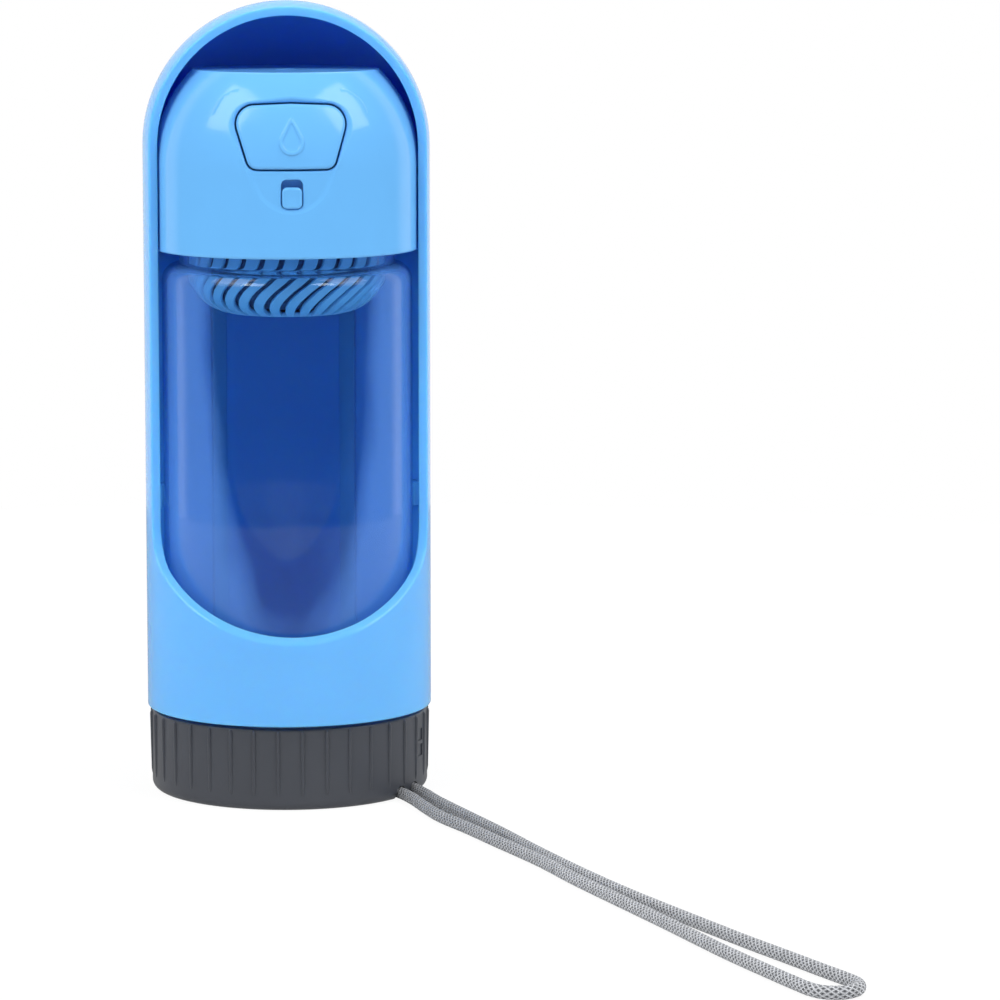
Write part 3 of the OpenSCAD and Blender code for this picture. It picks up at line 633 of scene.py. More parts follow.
def bake_modifiers(obj):
    """Turns the evaluated object into its plain mesh, with no modifier left."""
    graph = bpy.context.evaluated_depsgraph_get()
    mesh = bpy.data.meshes.new_from_object(obj.evaluated_get(graph))
    old = obj.data
    obj.modifiers.clear()
    obj.data = mesh
    mesh.name = obj.name
    if old.users == 0:
        bpy.data.meshes.remove(old)


def cut(obj, *solids):
    """Takes the solids, as verts and faces, out of obj."""
    tools = [new_object("cutter", *solid, sharp=180) for solid in solids]
    for tool in tools:
        step = obj.modifiers.new("cut", "BOOLEAN")
        step.operation, step.solver, step.object = "DIFFERENCE", "EXACT", tool
    bake_modifiers(obj)
    for tool in tools:
        mesh = tool.data
        bpy.data.objects.remove(tool)
        bpy.data.meshes.remove(mesh)


def refinish(obj, finish, sharp=38):
    """Gives a cut piece its one material and its smooth shading."""
    obj.data.materials.clear()
    obj.data.materials.append(finish)
    smooth(obj, sharp)


def soft_edges(obj, width):
    """Rounds an object's sharp edges and leaves a plain mesh."""
    bevel = obj.modifiers.new("round", "BEVEL")
    bevel.width, bevel.segments = width * MM, 3
    bevel.limit_method, bevel.angle_limit = "ANGLE", math.radians(40)
    bake_modifiers(obj)
    smooth(obj)


def stand(obj, body, slot, *nodes):
    """Lets a finished piece ride on its body and stand for CAD nodes."""
    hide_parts(*nodes)
    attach(obj, body)


def ring_tree(name):
    """Geometry Nodes: copies of one piece set round the Z axis."""
    tree = bpy.data.node_groups.new(name, "GeometryNodeTree")
    face = tree.interface
    face.new_socket("Geometry", in_out="INPUT", socket_type="NodeSocketGeometry")
    asked = {"Count": "NodeSocketInt", "Start Angle": "NodeSocketFloat", "Material": "NodeSocketMaterial"}
    settings = [face.new_socket(label, in_out="INPUT", socket_type=kind).identifier
                for label, kind in asked.items()]
    face.new_socket("Geometry", in_out="OUTPUT", socket_type="NodeSocketGeometry")
    given, out, line, index, step, turn, add, spin, copies, real, dress = map(tree.nodes.new, (
        "NodeGroupInput", "NodeGroupOutput", "GeometryNodeMeshLine", "GeometryNodeInputIndex",
        "ShaderNodeMath", "ShaderNodeMath", "ShaderNodeMath", "ShaderNodeCombineXYZ",
        "GeometryNodeInstanceOnPoints", "GeometryNodeRealizeInstances", "GeometryNodeSetMaterial"))
    line.mode = "OFFSET"
    line.inputs["Offset"].default_value = (0, 0, 0)
    step.operation, turn.operation, add.operation = "DIVIDE", "MULTIPLY", "ADD"
    step.inputs[0].default_value = TURN
    for start, output, end, socket in (
            (given, "Count", line, "Count"), (given, "Count", step, 1), (index, 0, turn, 0),
            (step, 0, turn, 1), (turn, 0, add, 0), (given, "Start Angle", add, 1), (add, 0, spin, "Z"),
            (line, "Mesh", copies, "Points"), (given, "Geometry", copies, "Instance"),
            (spin, 0, copies, "Rotation"), (copies, "Instances", real, "Geometry"),
            (real, "Geometry", dress, "Geometry"), (given, "Material", dress, "Material"),
            (dress, "Geometry", out, "Geometry")):
        tree.links.new(start.outputs[output], end.inputs[socket])
    return tree, settings


def set_round(obj, count, start, material):
    """Repeats obj round the axis with Geometry Nodes, then makes it one plain mesh."""
    tree, settings = ring_tree(obj.name + "_ring")
    ring = obj.modifiers.new("ring", "NODES")
    ring.node_group = tree
    for setting, value in zip(settings, (count, start, material)):
        ring[setting] = value
    obj.update_tag()
    bake_modifiers(obj)
    smooth(obj)


# ---- Settings ----

def length_prop(name, description, default, low, high):
    """A length in millimetres, for the panel."""
    return bpy.props.FloatProperty(
        name=name, description=description + ", mm", default=default, min=low, max=high)


def colour_prop(name, description, *display):
    """A colour for the panel, its default given from 0 to 255."""
    return bpy.props.FloatVectorProperty(
        name=name, description=description, subtype="COLOR", default=srgb(*display)[:3], min=0, max=1)


class BottleSizes(bpy.types.PropertyGroup):
    """The fine relief that the panel can change"""
    braid_pitch: length_prop("Braid pitch", "Length of one crossing of the cord's strands", 1.5, 0.8, 4.0)
    plait_depth: length_prop("Braid depth", "How far the strands stand out of the cord", 0.14, 0.0, 0.4)
    rim_round: length_prop("Rim rounding", "Rounding of the trough shell's rim", 0.45, 0.1, 0.8)
    moat_width: length_prop("Moat edge", "Soft edge of the hollow round the button", 1.3, 0.4, 2.5)
    drop_height: length_prop("Drop relief", "How far the drop stands up on the button", 0.32, 0.1, 0.6)


class BottleLook(bpy.types.PropertyGroup):
    """The colours, and the cord's strands, that the panel can change"""
    shell_blue: colour_prop("Shell blue", "Colour of the shell, head, button and lock", 106, 180, 240)
    filter_blue: colour_prop("Filter blue", "Colour of the filter basket", 110, 184, 240)
    cap_grey: colour_prop("Cap grey", "Colour of the base cap", 70, 73, 80)
    bottle_tint: colour_prop("Bottle tint", "Tint of the clear bottle", 226, 240, 251)
    # Painted glow: the blue of the lit shell inside, mixed into the clear bottle at its sides, foot and
    # edges
    painted_bottle_glow: colour_prop("Bottle haze", "Colour of the clear bottle seen edgeways", 104, 160, 240)
    braid_light: colour_prop("Braid, light", "Light strands of the cord", 222, 224, 228)
    braid_dark: colour_prop("Braid, dark", "Shade between the cord's strands", 84, 86, 91)
    braid_strands: bpy.props.IntProperty(
        name="Braid strands", description="Strands that run each way round the cord",
        default=8, min=3, max=12)


# ---- Wrist cord ----

def cord_line(step=0.4, fine_step=0.25):
    """Points along the cord's centre line, evenly spaced, in millimetres."""
    p = [np.array(q, float) for q in CORD_ROUTE]
    fine = []
    for i in range(len(p) - 1):
        a, b, c, d = p[max(i - 1, 0)], p[i], p[i + 1], p[min(i + 2, len(p) - 1)]
        n = max(2, int(np.linalg.norm(c - b) / fine_step))
        for k in range(n):
            t = k / n
            fine.append(0.5 * (2 * b + (c - a) * t + (2 * a - 5 * b + 4 * c - d) * t * t
                               + (3 * b - 3 * c + d - a) * t ** 3))
    fine.append(p[-1])
    fine = np.array(fine)
    run = np.concatenate([[0], np.cumsum(np.linalg.norm(np.diff(fine, axis=0), axis=1))])
    at = np.linspace(0, run[-1], int(run[-1] / step) + 1)
    return np.stack([np.interp(at, run, fine[:, i]) for i in range(3)], axis=1), at


class OBJECT_OT_wrist_cord(bpy.types.Operator):
    """Braids the wrist cord along its line, up to the crimps on its ends"""
    bl_idname = "bottle.wrist_cord"
    bl_label = "Wrist cord"

    def execute(self, context):
        sizes, look = context.scene.bottle_sizes, context.scene.bottle_look
        line, run = cord_line()
        sides, n = 40, len(line)
        ahead = np.gradient(line, axis=0)
        ahead /= np.linalg.norm(ahead, axis=1)[:, None]
        side = np.cross(ahead, [0, 0, 1])
        side /= np.linalg.norm(side, axis=1)[:, None]
        up = np.cross(side, ahead)
        turn = TURN * np.arange(sides) / sides
        along = TURN * run[:, None] / sizes.braid_pitch
        around = turn[None, :] * look.braid_strands
        over = np.maximum(np.sin(along + around), np.sin(along - around))
        r = CORD_R - sizes.plait_depth * (1 - over) * 0.5
        r = np.where((run[:, None] < CORD_END) | (run[:, None] > run[-1] - CORD_END), CORD_END_R, r)
        ring = line[:, None, :] + r[:, :, None] * (
            side[:, None, :] * np.cos(turn)[None, :, None] + up[:, None, :] * np.sin(turn)[None, :, None])
        faces, uvs = [], []
        for i in range(n - 1):
            u0, u1 = run[i] / sizes.braid_pitch, run[i + 1] / sizes.braid_pitch
            for k in range(sides):
                k1 = (k + 1) % sides
                faces.append((i * sides + k, (i + 1) * sides + k, (i + 1) * sides + k1, i * sides + k1))
                v0, v1 = k / sides, (k + 1) / sides
                uvs += [(u0, v0), (u1, v0), (u1, v1), (u0, v1)]
        faces += [tuple(range(sides)), tuple(reversed(range((n - 1) * sides, n * sides)))]
        mesh = bpy.data.meshes.new("braided_cord")
        mesh.from_pydata([(x * MM, y * MM, z * MM) for x, y, z in ring.reshape(-1, 3)], [], faces)
        layer = mesh.uv_layers.new(name="cord")
        flat = np.zeros(len(mesh.loops) * 2, dtype=np.float32)
        flat[:len(uvs) * 2] = np.array(uvs, dtype=np.float32).ravel()
        layer.data.foreach_set("uv", flat)
        mesh.materials.append(FINISHES["braid"])
        mesh.shade_smooth()
        cord = bpy.data.objects.new("braided_cord", mesh)
        context.scene.collection.objects.link(cord)
        stand(cord, "base", "cord_grey", "wrist_cord")
        return {"FINISHED"}


# ---- Trough shell ----

SLOPE_STEPS, ARC_STEPS, SIDE_STEPS, ARCH_STEPS = 40, 26, 40, 64
BACK_STEPS, LOW_STEPS, DOME_STEPS = 96, 26, 40


def rim_side(r, grow):
    """The right half of the opening's edge on a wall of radius r, from the front up to the dome."""
    arc_r = SILL_ARC_R + grow
    end_y = SILL_ARC_Y + arc_r * math.sin(SILL_SLOPE)
    end_z = SILL_ARC_Z - arc_r * math.cos(SILL_SLOPE)
    side = []
    reach = math.acos(-end_y / r)
    for k in range(SLOPE_STEPS):
        a = reach * k / SLOPE_STEPS
        y = -r * math.cos(a)
        side.append((r * math.sin(a), y, end_z + (y - end_y) * math.tan(SILL_SLOPE)))
    first = -(math.pi / 2 - SILL_SLOPE)
    for k in range(ARC_STEPS + 1):
        a = first * (1 - k / ARC_STEPS)
        y = SILL_ARC_Y + arc_r * math.cos(a)
        side.append((math.sqrt(r * r - y * y), y, SILL_ARC_Z + arc_r * math.sin(a)))
    y = OPENING_Y + grow
    x = math.sqrt(r * r - y * y)
    for k in range(1, SIDE_STEPS + 1):
        side.append((x, y, SILL_ARC_Z + (SHELL_DOME_Z - SILL_ARC_Z) * k / SIDE_STEPS))
    return side


def rim_loop(r, grow):
    """The whole edge of the opening on a wall of radius r."""
    side = rim_side(r, grow)
    y = OPENING_Y + grow
    rho = math.sqrt(r * r - y * y)
    arch = [(x, y, z) for x, z in arc(rho, 0, math.pi, ARCH_STEPS, z=SHELL_DOME_Z)[1:-1]]
    return side + arch + [(-x, y, z) for x, y, z in reversed(side[1:])]


def wall_grids(r, grow, foot_z):
    """The wall of radius r outside the opening, as grids of points, and its foot's azimuths."""
    side = rim_side(r, grow)
    low = side[:SLOPE_STEPS + ARC_STEPS + 1]
    low = [(-x, y, z) for x, y, z in reversed(low[1:])] + low
    below = [[(x, y, foot_z + (z - foot_z) * j / LOW_STEPS) for j in range(LOW_STEPS + 1)]
             for x, y, z in low]
    x, y, _ = side[-1]
    a0, a1 = math.atan2(y, x), math.pi - math.atan2(y, x)
    levels = [foot_z + (SILL_ARC_Z - foot_z) * j / LOW_STEPS for j in range(LOW_STEPS)]
    levels += [SILL_ARC_Z + (SHELL_DOME_Z - SILL_ARC_Z) * j / SIDE_STEPS for j in range(SIDE_STEPS)]

    def dome(a, e0):
        """Points up the dome at azimuth a, from elevation e0 to the top."""
        return [(out * math.cos(a), out * math.sin(a), z)
                for out, z in arc(r, e0, math.pi / 2, DOME_STEPS, z=SHELL_DOME_Z)]

    turns = [a0 + (a1 - a0) * k / BACK_STEPS for k in range(BACK_STEPS + 1)]
    back = [[(r * math.cos(a), r * math.sin(a), z) for z in levels] + dome(a, 0) for a in turns]
    y = OPENING_Y + grow
    front = [dome(math.atan2(y, x), math.asin(min(1.0, max(0.0, z / r))))
             for x, z in arc(math.sqrt(r * r - y * y), 0, math.pi, ARCH_STEPS)]
    azimuths = [math.atan2(q[1], q[0]) for q in low] + turns[1:-1]
    return [below, back, front], azimuths


class OBJECT_OT_trough_shell(bpy.types.Operator):
    """Builds the domed sliding shell with its swept opening, guide rails and stops"""
    bl_idname = "bottle.trough_shell"
    bl_label = "Trough shell"

    def execute(self, context):
        e = context.scene.bottle_sizes.rim_round
        hold = e + 0.25
        outer, turns_out = wall_grids(SHELL_R, hold, SHELL_Z + hold)
        inner, turns_in = wall_grids(SHELL_IN_R, hold, SHELL_Z + hold)
        parts = [grid_part(g) for g in outer + inner]
        quarter = [math.pi / 2 * k / 4 for k in range(5)]
        section = [(SHELL_R, hold)]
        section += [(SHELL_R - e + e * math.cos(q), e - e * math.sin(q)) for q in quarter]
        section += [(SHELL_IN_R + e - e * math.sin(q), e - e * math.cos(q)) for q in quarter]
        section += [(SHELL_IN_R, hold)]
        parts.append(loops_part([rim_loop(r, grow) for r, grow in section]))
        foot = []
        for i, (r, up) in enumerate(section):
            turns = turns_out if i < len(quarter) else turns_in
            foot.append([(r * math.cos(a), r * math.sin(a), SHELL_Z + up) for a in turns])
        parts.append(loops_part(foot))
        shell = new_object("domed_shell", *join_parts(*parts), FINISHES["shell_blue"], sharp=60)
        stand(shell, "trough", "blue", "trough_shell")
        rails = []
        for s in (-1, 1):
            rails.append(turned_box(s * RAIL_TURN, -RAIL_W / 2, RAIL_W / 2, SHELL_IN_R - RAIL_DEPTH,
                                    SHELL_IN_R + GUIDE_ROOT, RAIL_Z, RAIL_TOP_Z))
            rails.append(turned_box(s * STOP_TURN, -STOP_W / 2, STOP_W / 2, -SHELL_IN_R - GUIDE_ROOT,
                                    -STOP_IN_R, STOP_Z, STOP_TOP_Z))
        guides = new_object("shell_guides", *join_parts(*rails), FINISHES["solid_blue"])
        soft_edges(guides, 0.3)
        stand(guides, "trough", "blue", "trough_shell")
        return {"FINISHED"}


# ---- Head, button and lock ----

ROUND_STEPS = (0.09, 0.31, 0.62, 1.0, 1.4)


def round_front(points, r):
    """Y of the head's round front, a cylinder with a dome on it, at each (x, z)."""
    up = np.maximum(points[:, 1] - HEAD_DOME_Z, 0)
    return -np.sqrt(np.maximum(r * r - points[:, 0] ** 2 - up ** 2, 1.0))


class OBJECT_OT_head(bpy.types.Operator):
    """Builds the head: its dome, the hollow round the button, the button's hole and the lock's slot"""
    bl_idname = "bottle.head"
    bl_label = "Head"

    def execute(self, context):
        moat = context.scene.bottle_sizes.moat_width
        face = belt(FACE_CIRCLES, steps=16)
        head = new_object("head_dome", *self.dome(), sharp=60)
        cut(head, *self.hollows(face))
        gap = spread(belt(BUTTON_CIRCLES, BUTTON_GAP, steps=12), 0.8)
        slot = spread(belt(round_box(*SLOT)), 0.6)
        rings = [spread(belt(BUTTON_CIRCLES, BUTTON_GAP + BUTTON_HOLE_ROUND * s, steps=12), 0.8)
                 for s in ROUND_STEPS]
        rings += [spread(belt(round_box(*SLOT, grow=SLOT_ROUND * s)), 0.6) for s in ROUND_STEPS]
        edge = belt(RECESS_CIRCLES, steps=12)
        rings += [spread(belt(RECESS_CIRCLES, g, steps=12), 0.9) for g in RECESS_RINGS]
        net = relief_faces(spread(face, 1.0), rings, (gap, slot), 0.9)

        def front(points):
            within = depth(edge, points)
            deep = RECESS_DEPTH + RECESS_LEAN * (points[:, 1] - RECESS_Z) / RECESS_H
            y = round_front(points, HEAD_R) + np.maximum(deep, 0) * soft_step((within + 0.15) / moat)
            y = y + RECESS_STEP * soft_step((within + 0.17) / 0.34)
            y = y + round_over(distance(gap, points), BUTTON_HOLE_ROUND)
            return y + round_over(distance(slot, points), SLOT_ROUND)

        panel = new_object("head_face", *relief_solid(net, front, lambda p: round_front(p, HEAD_IN_R)))
        for part in (head, panel):
            refinish(part, FINISHES["solid_blue"], 50)
            stand(part, "bottle", "blue", "head_housing")
        return {"FINISHED"}

    def dome(self):
        """The head as a plain turned shell."""
        in_top = HEAD_TOP_Z - HEAD_TOP_T
        top_r = math.sqrt(HEAD_R ** 2 - (HEAD_TOP_Z - HEAD_DOME_Z) ** 2)
        rise = math.asin((HEAD_TOP_Z - HEAD_DOME_Z) / HEAD_R)
        in_rise = math.asin((in_top - HEAD_DOME_Z) / HEAD_IN_R)
        foot = rounded([
            (HEAD_IN_R, HEAD_Z, 0.5), (HEAD_R, HEAD_Z, 0.6), (HEAD_R, HEAD_DOME_Z - 0.01, 0)])[:-1]
        wall = [(HEAD_R, z) for z in (HEAD_Z + 0.9, 145.0, 152.0)]
        top = [(top_r + 0.12, HEAD_TOP_Z - 0.1), (top_r - 0.12, HEAD_TOP_Z - 0.02),
               (top_r - 0.5, HEAD_TOP_Z), (top_r - 4, HEAD_TOP_Z), (0, HEAD_TOP_Z), (0, in_top)]
        outer = arc(HEAD_R, 0, rise, 40, z=HEAD_DOME_Z)[:-1]
        inner = arc(HEAD_IN_R, 0, in_rise, 20, z=HEAD_DOME_Z)
        return lathe(foot + wall + outer + top + inner[::-1], 192)

    def hollows(self, face):
        """What is cut from the head: its front, the rails' and the seal's grooves, the spout's seat."""
        solids = [prism(face, -HEAD_R - 2, FACE_BACK_Y)]
        for s in (-1, 1):
            solids.append(turned_box(
                s * RAIL_TURN, -GROOVE_W / 2, GROOVE_W / 2, SHELL_IN_R - GROOVE_DEPTH, GROOVE_OUT,
                HEAD_Z - 1, GROOVE_TOP_Z))
        band = [(SEAL_R, SEAL_Z), (SEAL_OUT_R, SEAL_Z), (SEAL_OUT_R, SEAL_TOP_Z), (SEAL_R, SEAL_TOP_Z)]
        solids.append(lathe(band, 96, SEAL_START, SEAL_SWEEP))
        seat_z = HEAD_TOP_Z - SPOUT_SEAT_DEPTH
        verts, faces = lathe([
            (0, SPOUT_CUT_Z), (SPOUT_R, SPOUT_CUT_Z), (SPOUT_R, seat_z),
            (SPOUT_SEAT_R, seat_z), (SPOUT_SEAT_R, SPOUT_CUT_TOP_Z), (0, SPOUT_CUT_TOP_Z)], 64)
        solids.append(([(x, y + SPOUT_Y, z) for x, y, z in verts], faces))
        return solids


class OBJECT_OT_button(bpy.types.Operator):
    """Builds the valve button with its rounded edge and the raised water drop"""
    bl_idname = "bottle.button"
    bl_label = "Button"

    def execute(self, context):
        height = context.scene.bottle_sizes.drop_height
        edge = spread(belt(BUTTON_CIRCLES, steps=14), 0.7)
        drop, well = belt(DROP_CIRCLES, steps=18), belt(WELL_CIRCLES, steps=18)
        rings = [spread(belt(BUTTON_CIRCLES, -BUTTON_ROUND * s, steps=14), 0.7) for s in ROUND_STEPS]
        for circles, grows in ((DROP_CIRCLES, DROP_RINGS), (WELL_CIRCLES, WELL_RINGS)):
            rings += [spread(belt(circles, g, steps=18), 0.35) for g in grows]
        net = relief_faces(edge, rings, (), 0.8)

        def front(points):
            raised = soft_step((depth(drop, points) + 0.14) / 0.38)
            sunk = soft_step((depth(well, points) + 0.16) / 0.34)
            y = round_front(points, HEAD_R) + round_over(distance(edge, points), BUTTON_ROUND)
            return y - height * (raised - DROP_SINK * sunk)

        face = relief_solid(net, front, lambda p: np.full(len(p), LIP_BACK_Y - LIP_T + 0.1))
        lip = prism(belt(BUTTON_CIRCLES, LIP_OUT, steps=10), LIP_BACK_Y - LIP_T, LIP_BACK_Y)
        button = new_object("push_button", *join_parts(face, lip), FINISHES["solid_blue"], sharp=50)
        stand(button, "button", "blue", "button_cap")
        return {"FINISHED"}


class OBJECT_OT_lock(bpy.types.Operator):
    """Builds the small sliding lock under the button"""
    bl_idname = "bottle.lock"
    bl_label = "Lock"

    def execute(self, context):
        edge, *rings = [spread(belt(round_box(*KNOB, grow=-KNOB_ROUND * s)), 0.5)
                        for s in (0, *ROUND_STEPS)]
        net = relief_faces(edge, rings, (), 0.5)

        def front(points):
            y = round_front(points, HEAD_R + KNOB_PROUD) + round_over(distance(edge, points), KNOB_ROUND)
            return y + DISH_DEPTH * np.exp(
                -((points[:, 1] - DISH_Z) / DISH_H) ** 2 - (points[:, 0] / DISH_W) ** 2)

        solid = relief_solid(net, front, lambda p: np.full(len(p), KNOB_BACK_Y))
        knob = new_object("lock_slider", *solid, FINISHES["solid_blue"], sharp=50)
        stand(knob, "lock", "blue", "lock_knob")
        return {"FINISHED"}


# ---- Bottle, filter and cap ----

class OBJECT_OT_bottle(bpy.types.Operator):
    """Turns the clear bottle with its rounded shoulder and neck"""
    bl_idname = "bottle.clear_bottle"
    bl_label = "Clear bottle"

    def execute(self, context):
        profile = rounded([
            (BOTTLE_IN_R, BOTTLE_Z, 0.5), (BOTTLE_R, BOTTLE_Z, 0.5), (BOTTLE_R, SHOULDER_Z, 4.5),
            (NECK_R, SHOULDER_Z, 0.6), (NECK_R, NECK_Z, 0.4), (NECK_IN_R, NECK_Z, 0.4),
            (NECK_IN_R, SHOULDER_Z - SHOULDER_T, 0.6), (BOTTLE_IN_R, SHOULDER_Z - SHOULDER_T, 3.2),
        ], 8)
        bottle = new_object("clear_body", *lathe(divided(profile, 8), 192), FINISHES["clear_bottle"])
        stand(bottle, "bottle", "clear", "bottle_body")
        return {"FINISHED"}


class OBJECT_OT_filter_basket(bpy.types.Operator):
    """Builds the swirl basket: its floor, its flange and the ring of leaning bars"""
    bl_idname = "bottle.filter_basket"
    bl_label = "Filter basket"

    def execute(self, context):
        finish = FINISHES["filter_blue"]
        floor_z = BASKET_Z + BASKET_FLOOR_T
        floor = lathe(rounded([
            (0, BASKET_Z, 0), (BASKET_FLOOR_R, BASKET_Z, 0.3),
            (BASKET_FLOOR_R, floor_z, 0.3), (0, floor_z, 0),
        ]), 96)
        rim = lathe(rounded([
            (BASKET_IN_R, RIM_Z, 0.3), (BASKET_R, RIM_Z, 0.4), (BASKET_R, FLANGE_Z, 0.2),
            (NECK_R, FLANGE_Z, 0.2), (NECK_R, FLANGE_TOP_Z, 0.3), (BASKET_IN_R, FLANGE_TOP_Z, 0.3),
        ]), 128)
        rings = new_object("basket_rings", *join_parts(floor, rim), finish)
        stand(rings, "bottle", "blue", "filter_basket")
        bars = new_object("swirl_bars", *self.bar(), finish)
        set_round(bars, BAR_COUNT, 0.0, finish)
        stand(bars, "bottle", "blue", "filter_basket")
        return {"FINISHED"}

    def bar(self):
        """One bar, down the side and in under the floor, leaning as it goes."""
        path = [(BAR_R, BAR_TOP_Z - (BAR_TOP_Z - BEND_Z) * k / 8, 0.0) for k in range(9)]
        for k in range(1, 13):
            a = math.pi / 2 * k / 12
            path.append((BEND_MIDDLE_R + BEND_R * math.cos(a), BEND_Z - BEND_R * math.sin(a), a))
        path.append((BEND_MIDDLE_R + 0.1, BEND_Z - BEND_R, math.pi / 2))
        rows, run = [], 0.0
        for i, (r, z, a) in enumerate(path):
            if i:
                run += math.dist(path[i - 1][:2], (r, z))
            sway = -run * math.tan(BAR_LEAN) / LEAN_R + SWAY * math.sin(run / SWAY_RUN * TURN)
            half = max(0.5, (TURN * r / BAR_COUNT - BAR_GAP) / 2) / r
            out, up = math.cos(a), -math.sin(a)
            row = []
            for s, t in BAR_SECTION:
                rr, zz, turn = r + t * out, z + t * up, sway + s * half - math.pi / 2
                row.append((rr * math.cos(turn), rr * math.sin(turn), zz))
            rows.append(row)
        return loops_part(rows, ends=True)


class OBJECT_OT_base_cap(bpy.types.Operator):
    """Builds the screwed base cap with its grip ribs, and the lug that holds the cord"""
    bl_idname = "bottle.base_cap"
    bl_label = "Base cap"

    def execute(self, context):
        finish = FINISHES["cap_grey"]
        profile = rounded([
            (0, FOOT_DEPTH, 0), (FOOT_IN_R, FOOT_DEPTH, 0.8), (FOOT_IN_R, 0, 0.8), (CAP_R, 0, 2.2),
            (CAP_R, CAP_H, 0.6), (CAP_IN_R, CAP_H, 0.5), (CAP_IN_R, CAP_FLOOR_Z, 0.6),
            (0, CAP_FLOOR_Z, 0),
        ], 8)
        cap = new_object("screw_cap", *lathe(divided(profile, 5), 180), finish)
        spin = Matrix.Translation(Vector((*LUG_AT, 0))) @ Matrix.Rotation(LUG_HEADING, 4, "Z")

        def at_lug(verts, faces):
            """Moves a solid from the origin to the lug's place and heading."""
            return [tuple(spin @ Vector(v)) for v in verts], faces

        def at_cords(loop, y0, y1):
            """The outline drawn out along both ends of the cord."""
            return [at_lug(*prism([(x + s * CORD_PITCH / 2, z) for x, z in loop], y0, y1))
                    for s in (-1, 1)]

        r = CORD_GROOVE_R
        arch = [(r, -1.0), *arc(r, 0, math.pi, 16, z=r), (-r, -1.0)]
        pocket = (-POCKET_W / 2, POCKET_W / 2, -CAP_R - 1, POCKET_DEPTH - CAP_R)
        pockets = [turned_box(POCKET_TURN, *pocket, *heights) for heights in POCKET_HEIGHTS]
        cut(cap, *at_cords(arch, -42.5, -2.5), *pockets)
        block = box_solid(-LUG_W / 2, LUG_W / 2, -LUG_T / 2, LUG_T / 2, LUG_Z, FOOT_DEPTH + 0.3)
        lug = new_object("cord_lug", *at_lug(*block), finish)
        soft_edges(lug, 0.35)
        cut(lug, *at_cords(arc(CORD_HOLE_R, 0, TURN, 32, z=CORD_HOLE_Z)[:-1], -6, 6))
        for part in (cap, lug):
            refinish(part, finish)
            stand(part, "base", "cap_grey", "base_cap")
        root = CAP_R - RIB_ROOT
        around = [math.pi * k / 6 for k in range(7)]
        rows = [[(half * math.cos(a), -(root + (out + RIB_ROOT) * math.sin(a) ** 0.7), z) for a in around]
                for z, out, half in RIB_SHAPE]
        ribs = new_object("grip_ribs", *loops_part(rows, ends=True), finish)
        set_round(ribs, RIB_COUNT, RIB_START, finish)
        stand(ribs, "base", "cap_grey", "base_cap")
        return {"FINISHED"}


class OBJECT_OT_return_spring(bpy.types.Operator):
    """Coils the valve's spring at one length, in the CAD spring's box; the coil does not shorten as the
    button is pressed
    """
    bl_idname = "bottle.return_spring"
    bl_label = "Return spring"

    def execute(self, context):
        low, high = (np.array(corner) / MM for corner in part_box("return_spring"))
        wire, turns, around, sides, press = 0.35, 4, 32, 12, 3.0
        middle, r = (low + high) / 2, (high[0] - low[0]) / 2 - wire
        n = turns * around + 1
        loops = []
        for i in range(n):
            a = TURN * i / around
            y = low[1] + wire + (high[1] - low[1] - 2 * wire) * i / (n - 1)
            loops.append([(middle[0] + out * math.cos(a), y + rise, middle[2] + out * math.sin(a))
                          for out, rise in arc(wire, 0, TURN, sides, x=r)[:-1]])
        verts, faces = loops_part(loops)
        faces += [tuple(reversed(range(sides))), tuple(range((n - 1) * sides, n * sides))]
        coil = new_object("valve_spring", verts, faces, FINISHES["steel"])
        stand(coil, "bottle", "steel", "return_spring")
        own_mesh(coil)
        return {"FINISHED"}


class OBJECT_OT_inner_parts(bpy.types.Operator):
    """Gives the crimps, seals, filter, valve, spout and the lock's plate their finishes"""
    bl_idname = "bottle.inner_parts"
    bl_label = "Inner parts"

    def execute(self, context):
        dress = {
            "steel": ["cord_crimps"],
            "soft_seal": ["base_gasket", "neck_gasket", "trough_seal"],
            "carbon": ["filter_core"],
            "filter_pad": ["filter_pad"],
            "filter_blue": ["basket_lid", "neck_collar", "lock_plate"],
            "inner_white": ["valve_block", "rear_plug", "valve_stem", "lock_retainer"],
            "black_rubber": ["stem_oring", "valve_disc"],
            "solid_blue": ["spout_grommet"],
        }
        for finish, nodes in dress.items():
            for node in nodes:
                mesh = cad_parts[node].data
                if not mesh.materials:
                    mesh.materials.append(FINISHES[finish])
                for i in range(len(mesh.materials)):
                    mesh.materials[i] = FINISHES[finish]
        return {"FINISHED"}


# ---- Stage ----

FLOOR_R, FLOOR_Z, FLOOR_SIDES = 520, -0.05, 96
AIM, LAMP_REACH = (0, 0, 0.12), 1.1
LAMPS = (  # name, degrees from the front towards +X, degrees up, width, length, watts, seen in mirrors
    ("soft_box_left", -66, 44, 0.62, 0.66, 4.2, True),
    ("soft_box_right", 65, 44, 0.62, 0.66, 4.2, True),
    ("soft_box_back", 172, 58, 0.7, 0.5, 2.4, True),
    ("fill_left", -42, 46, 0.34, 0.34, 3.8, False),
    ("fill_right", 42, 46, 0.34, 0.34, 3.9, False),
)
LENS, SENSOR = 169.26, 36.0
CAMERA_AT = (-0.0493, -1.1868, 0.2387)
CAMERA_TURN = (math.radians(82.08), 0, math.radians(-4.98))


